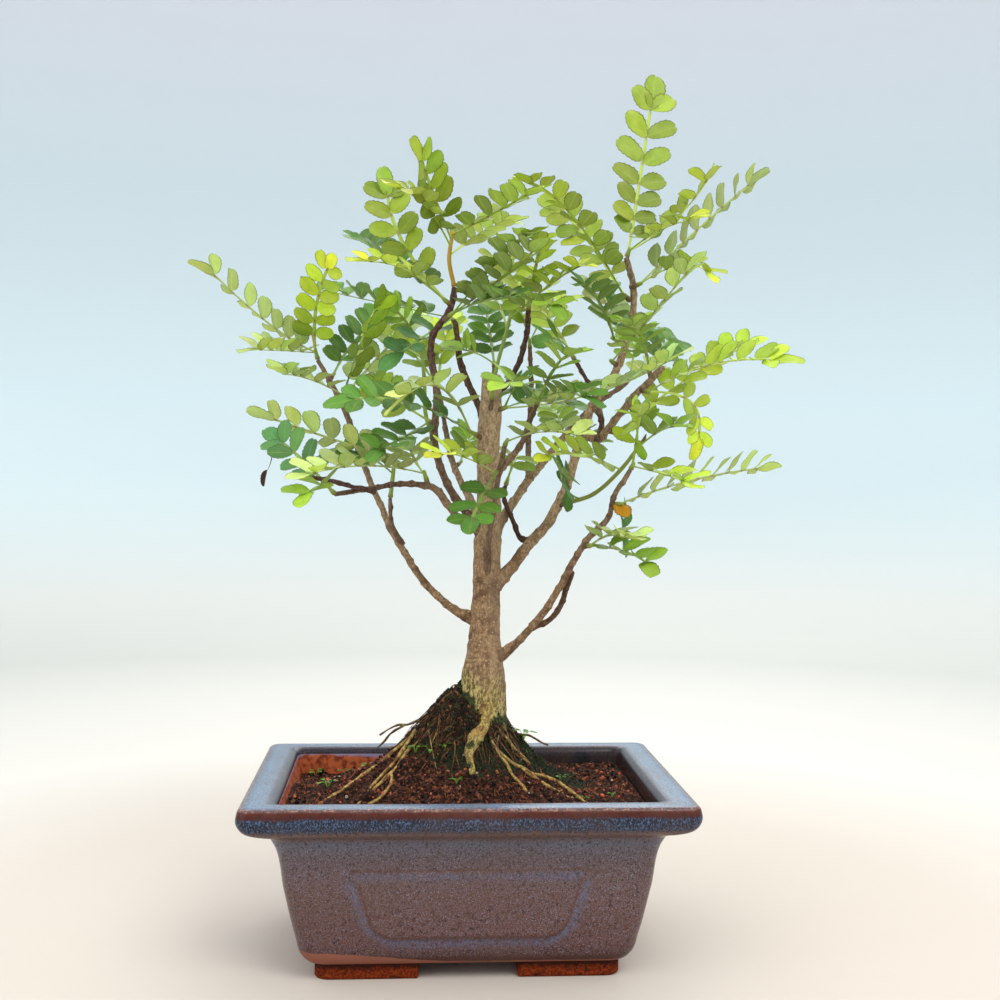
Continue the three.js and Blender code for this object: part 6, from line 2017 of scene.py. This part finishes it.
def make_camera(scene, settings):
    """The camera at its place, turned by its yaw, pitch and roll."""
    yaw, pitch, roll = (math.radians(a) for a in CAMERA_TURN)
    level = math.cos(pitch)
    ahead = Vector((math.sin(yaw) * level, math.cos(yaw) * level, math.sin(pitch)))
    right = Vector((math.cos(yaw), -math.sin(yaw), 0))
    up = right.cross(ahead)
    tilted = right * math.cos(roll) + up * math.sin(roll)
    upright = up * math.cos(roll) - right * math.sin(roll)
    data = bpy.data.cameras.new("camera")
    data.lens = settings.lens
    data.sensor_width = SENSOR
    data.clip_start, data.clip_end = 0.01, 20
    camera = bpy.data.objects.new("camera", data)
    matrix = Matrix((tilted, upright, -ahead)).transposed().to_4x4()
    matrix.translation = Vector(CAMERA_PLACE) * MM
    camera.matrix_world = matrix
    scene.collection.objects.link(camera)
    scene.camera = camera
    scene.view_settings.view_transform = "Standard"


class BONSAI_OT_stage(bpy.types.Operator):
    """Set up the pale floor and backdrop, the soft lamps and the camera"""

    bl_idname = "bonsai.stage"
    bl_label = "Stage"

    def execute(self, context):
        settings = context.scene.bonsai_stage
        make_sweep()
        make_lamps(context.scene)
        make_camera(context.scene, settings)
        return {"FINISHED"}


# Sidebar and start


OPERATORS = (
    BONSAI_OT_pot,
    BONSAI_OT_drain_meshes,
    BONSAI_OT_soil,
    BONSAI_OT_wood,
    BONSAI_OT_shoots,
    BONSAI_OT_small_growth,
    BONSAI_OT_stage,
)


class BONSAI_PT_sidebar(bpy.types.Panel):
    """Lists the bonsai's pieces and their settings"""

    bl_label = "Pepper bonsai"
    bl_idname = "BONSAI_PT_sidebar"
    bl_space_type = "VIEW_3D"
    bl_region_type = "UI"
    bl_category = "Bonsai"

    def draw(self, context):
        for operator in OPERATORS:
            self.layout.operator(operator.bl_idname)
        for name in SETTINGS:
            group = getattr(context.scene, name)
            box = self.layout.box()
            for field in group.bl_rna.properties:
                if field.identifier not in ("rna_type", "name"):
                    box.prop(group, field.identifier)


def register():
    for name, settings in SETTINGS.items():
        bpy.utils.register_class(settings)
        setattr(bpy.types.Scene, name, PointerProperty(type=settings))
    for made in (*OPERATORS, BONSAI_PT_sidebar):
        bpy.utils.register_class(made)


def unregister():
    for made in (BONSAI_PT_sidebar, *reversed(OPERATORS)):
        bpy.utils.unregister_class(made)
    for name, settings in SETTINGS.items():
        delattr(bpy.types.Scene, name)
        bpy.utils.unregister_class(settings)


def main():
    register()
    bpy.ops.bonsai.stage()
    bpy.ops.bonsai.pot()
    bpy.ops.bonsai.drain_meshes()
    bpy.ops.bonsai.soil()
    bpy.ops.bonsai.wood()
    bpy.ops.bonsai.shoots()
    bpy.ops.bonsai.small_growth()


if __name__ == "__main__":
    main()
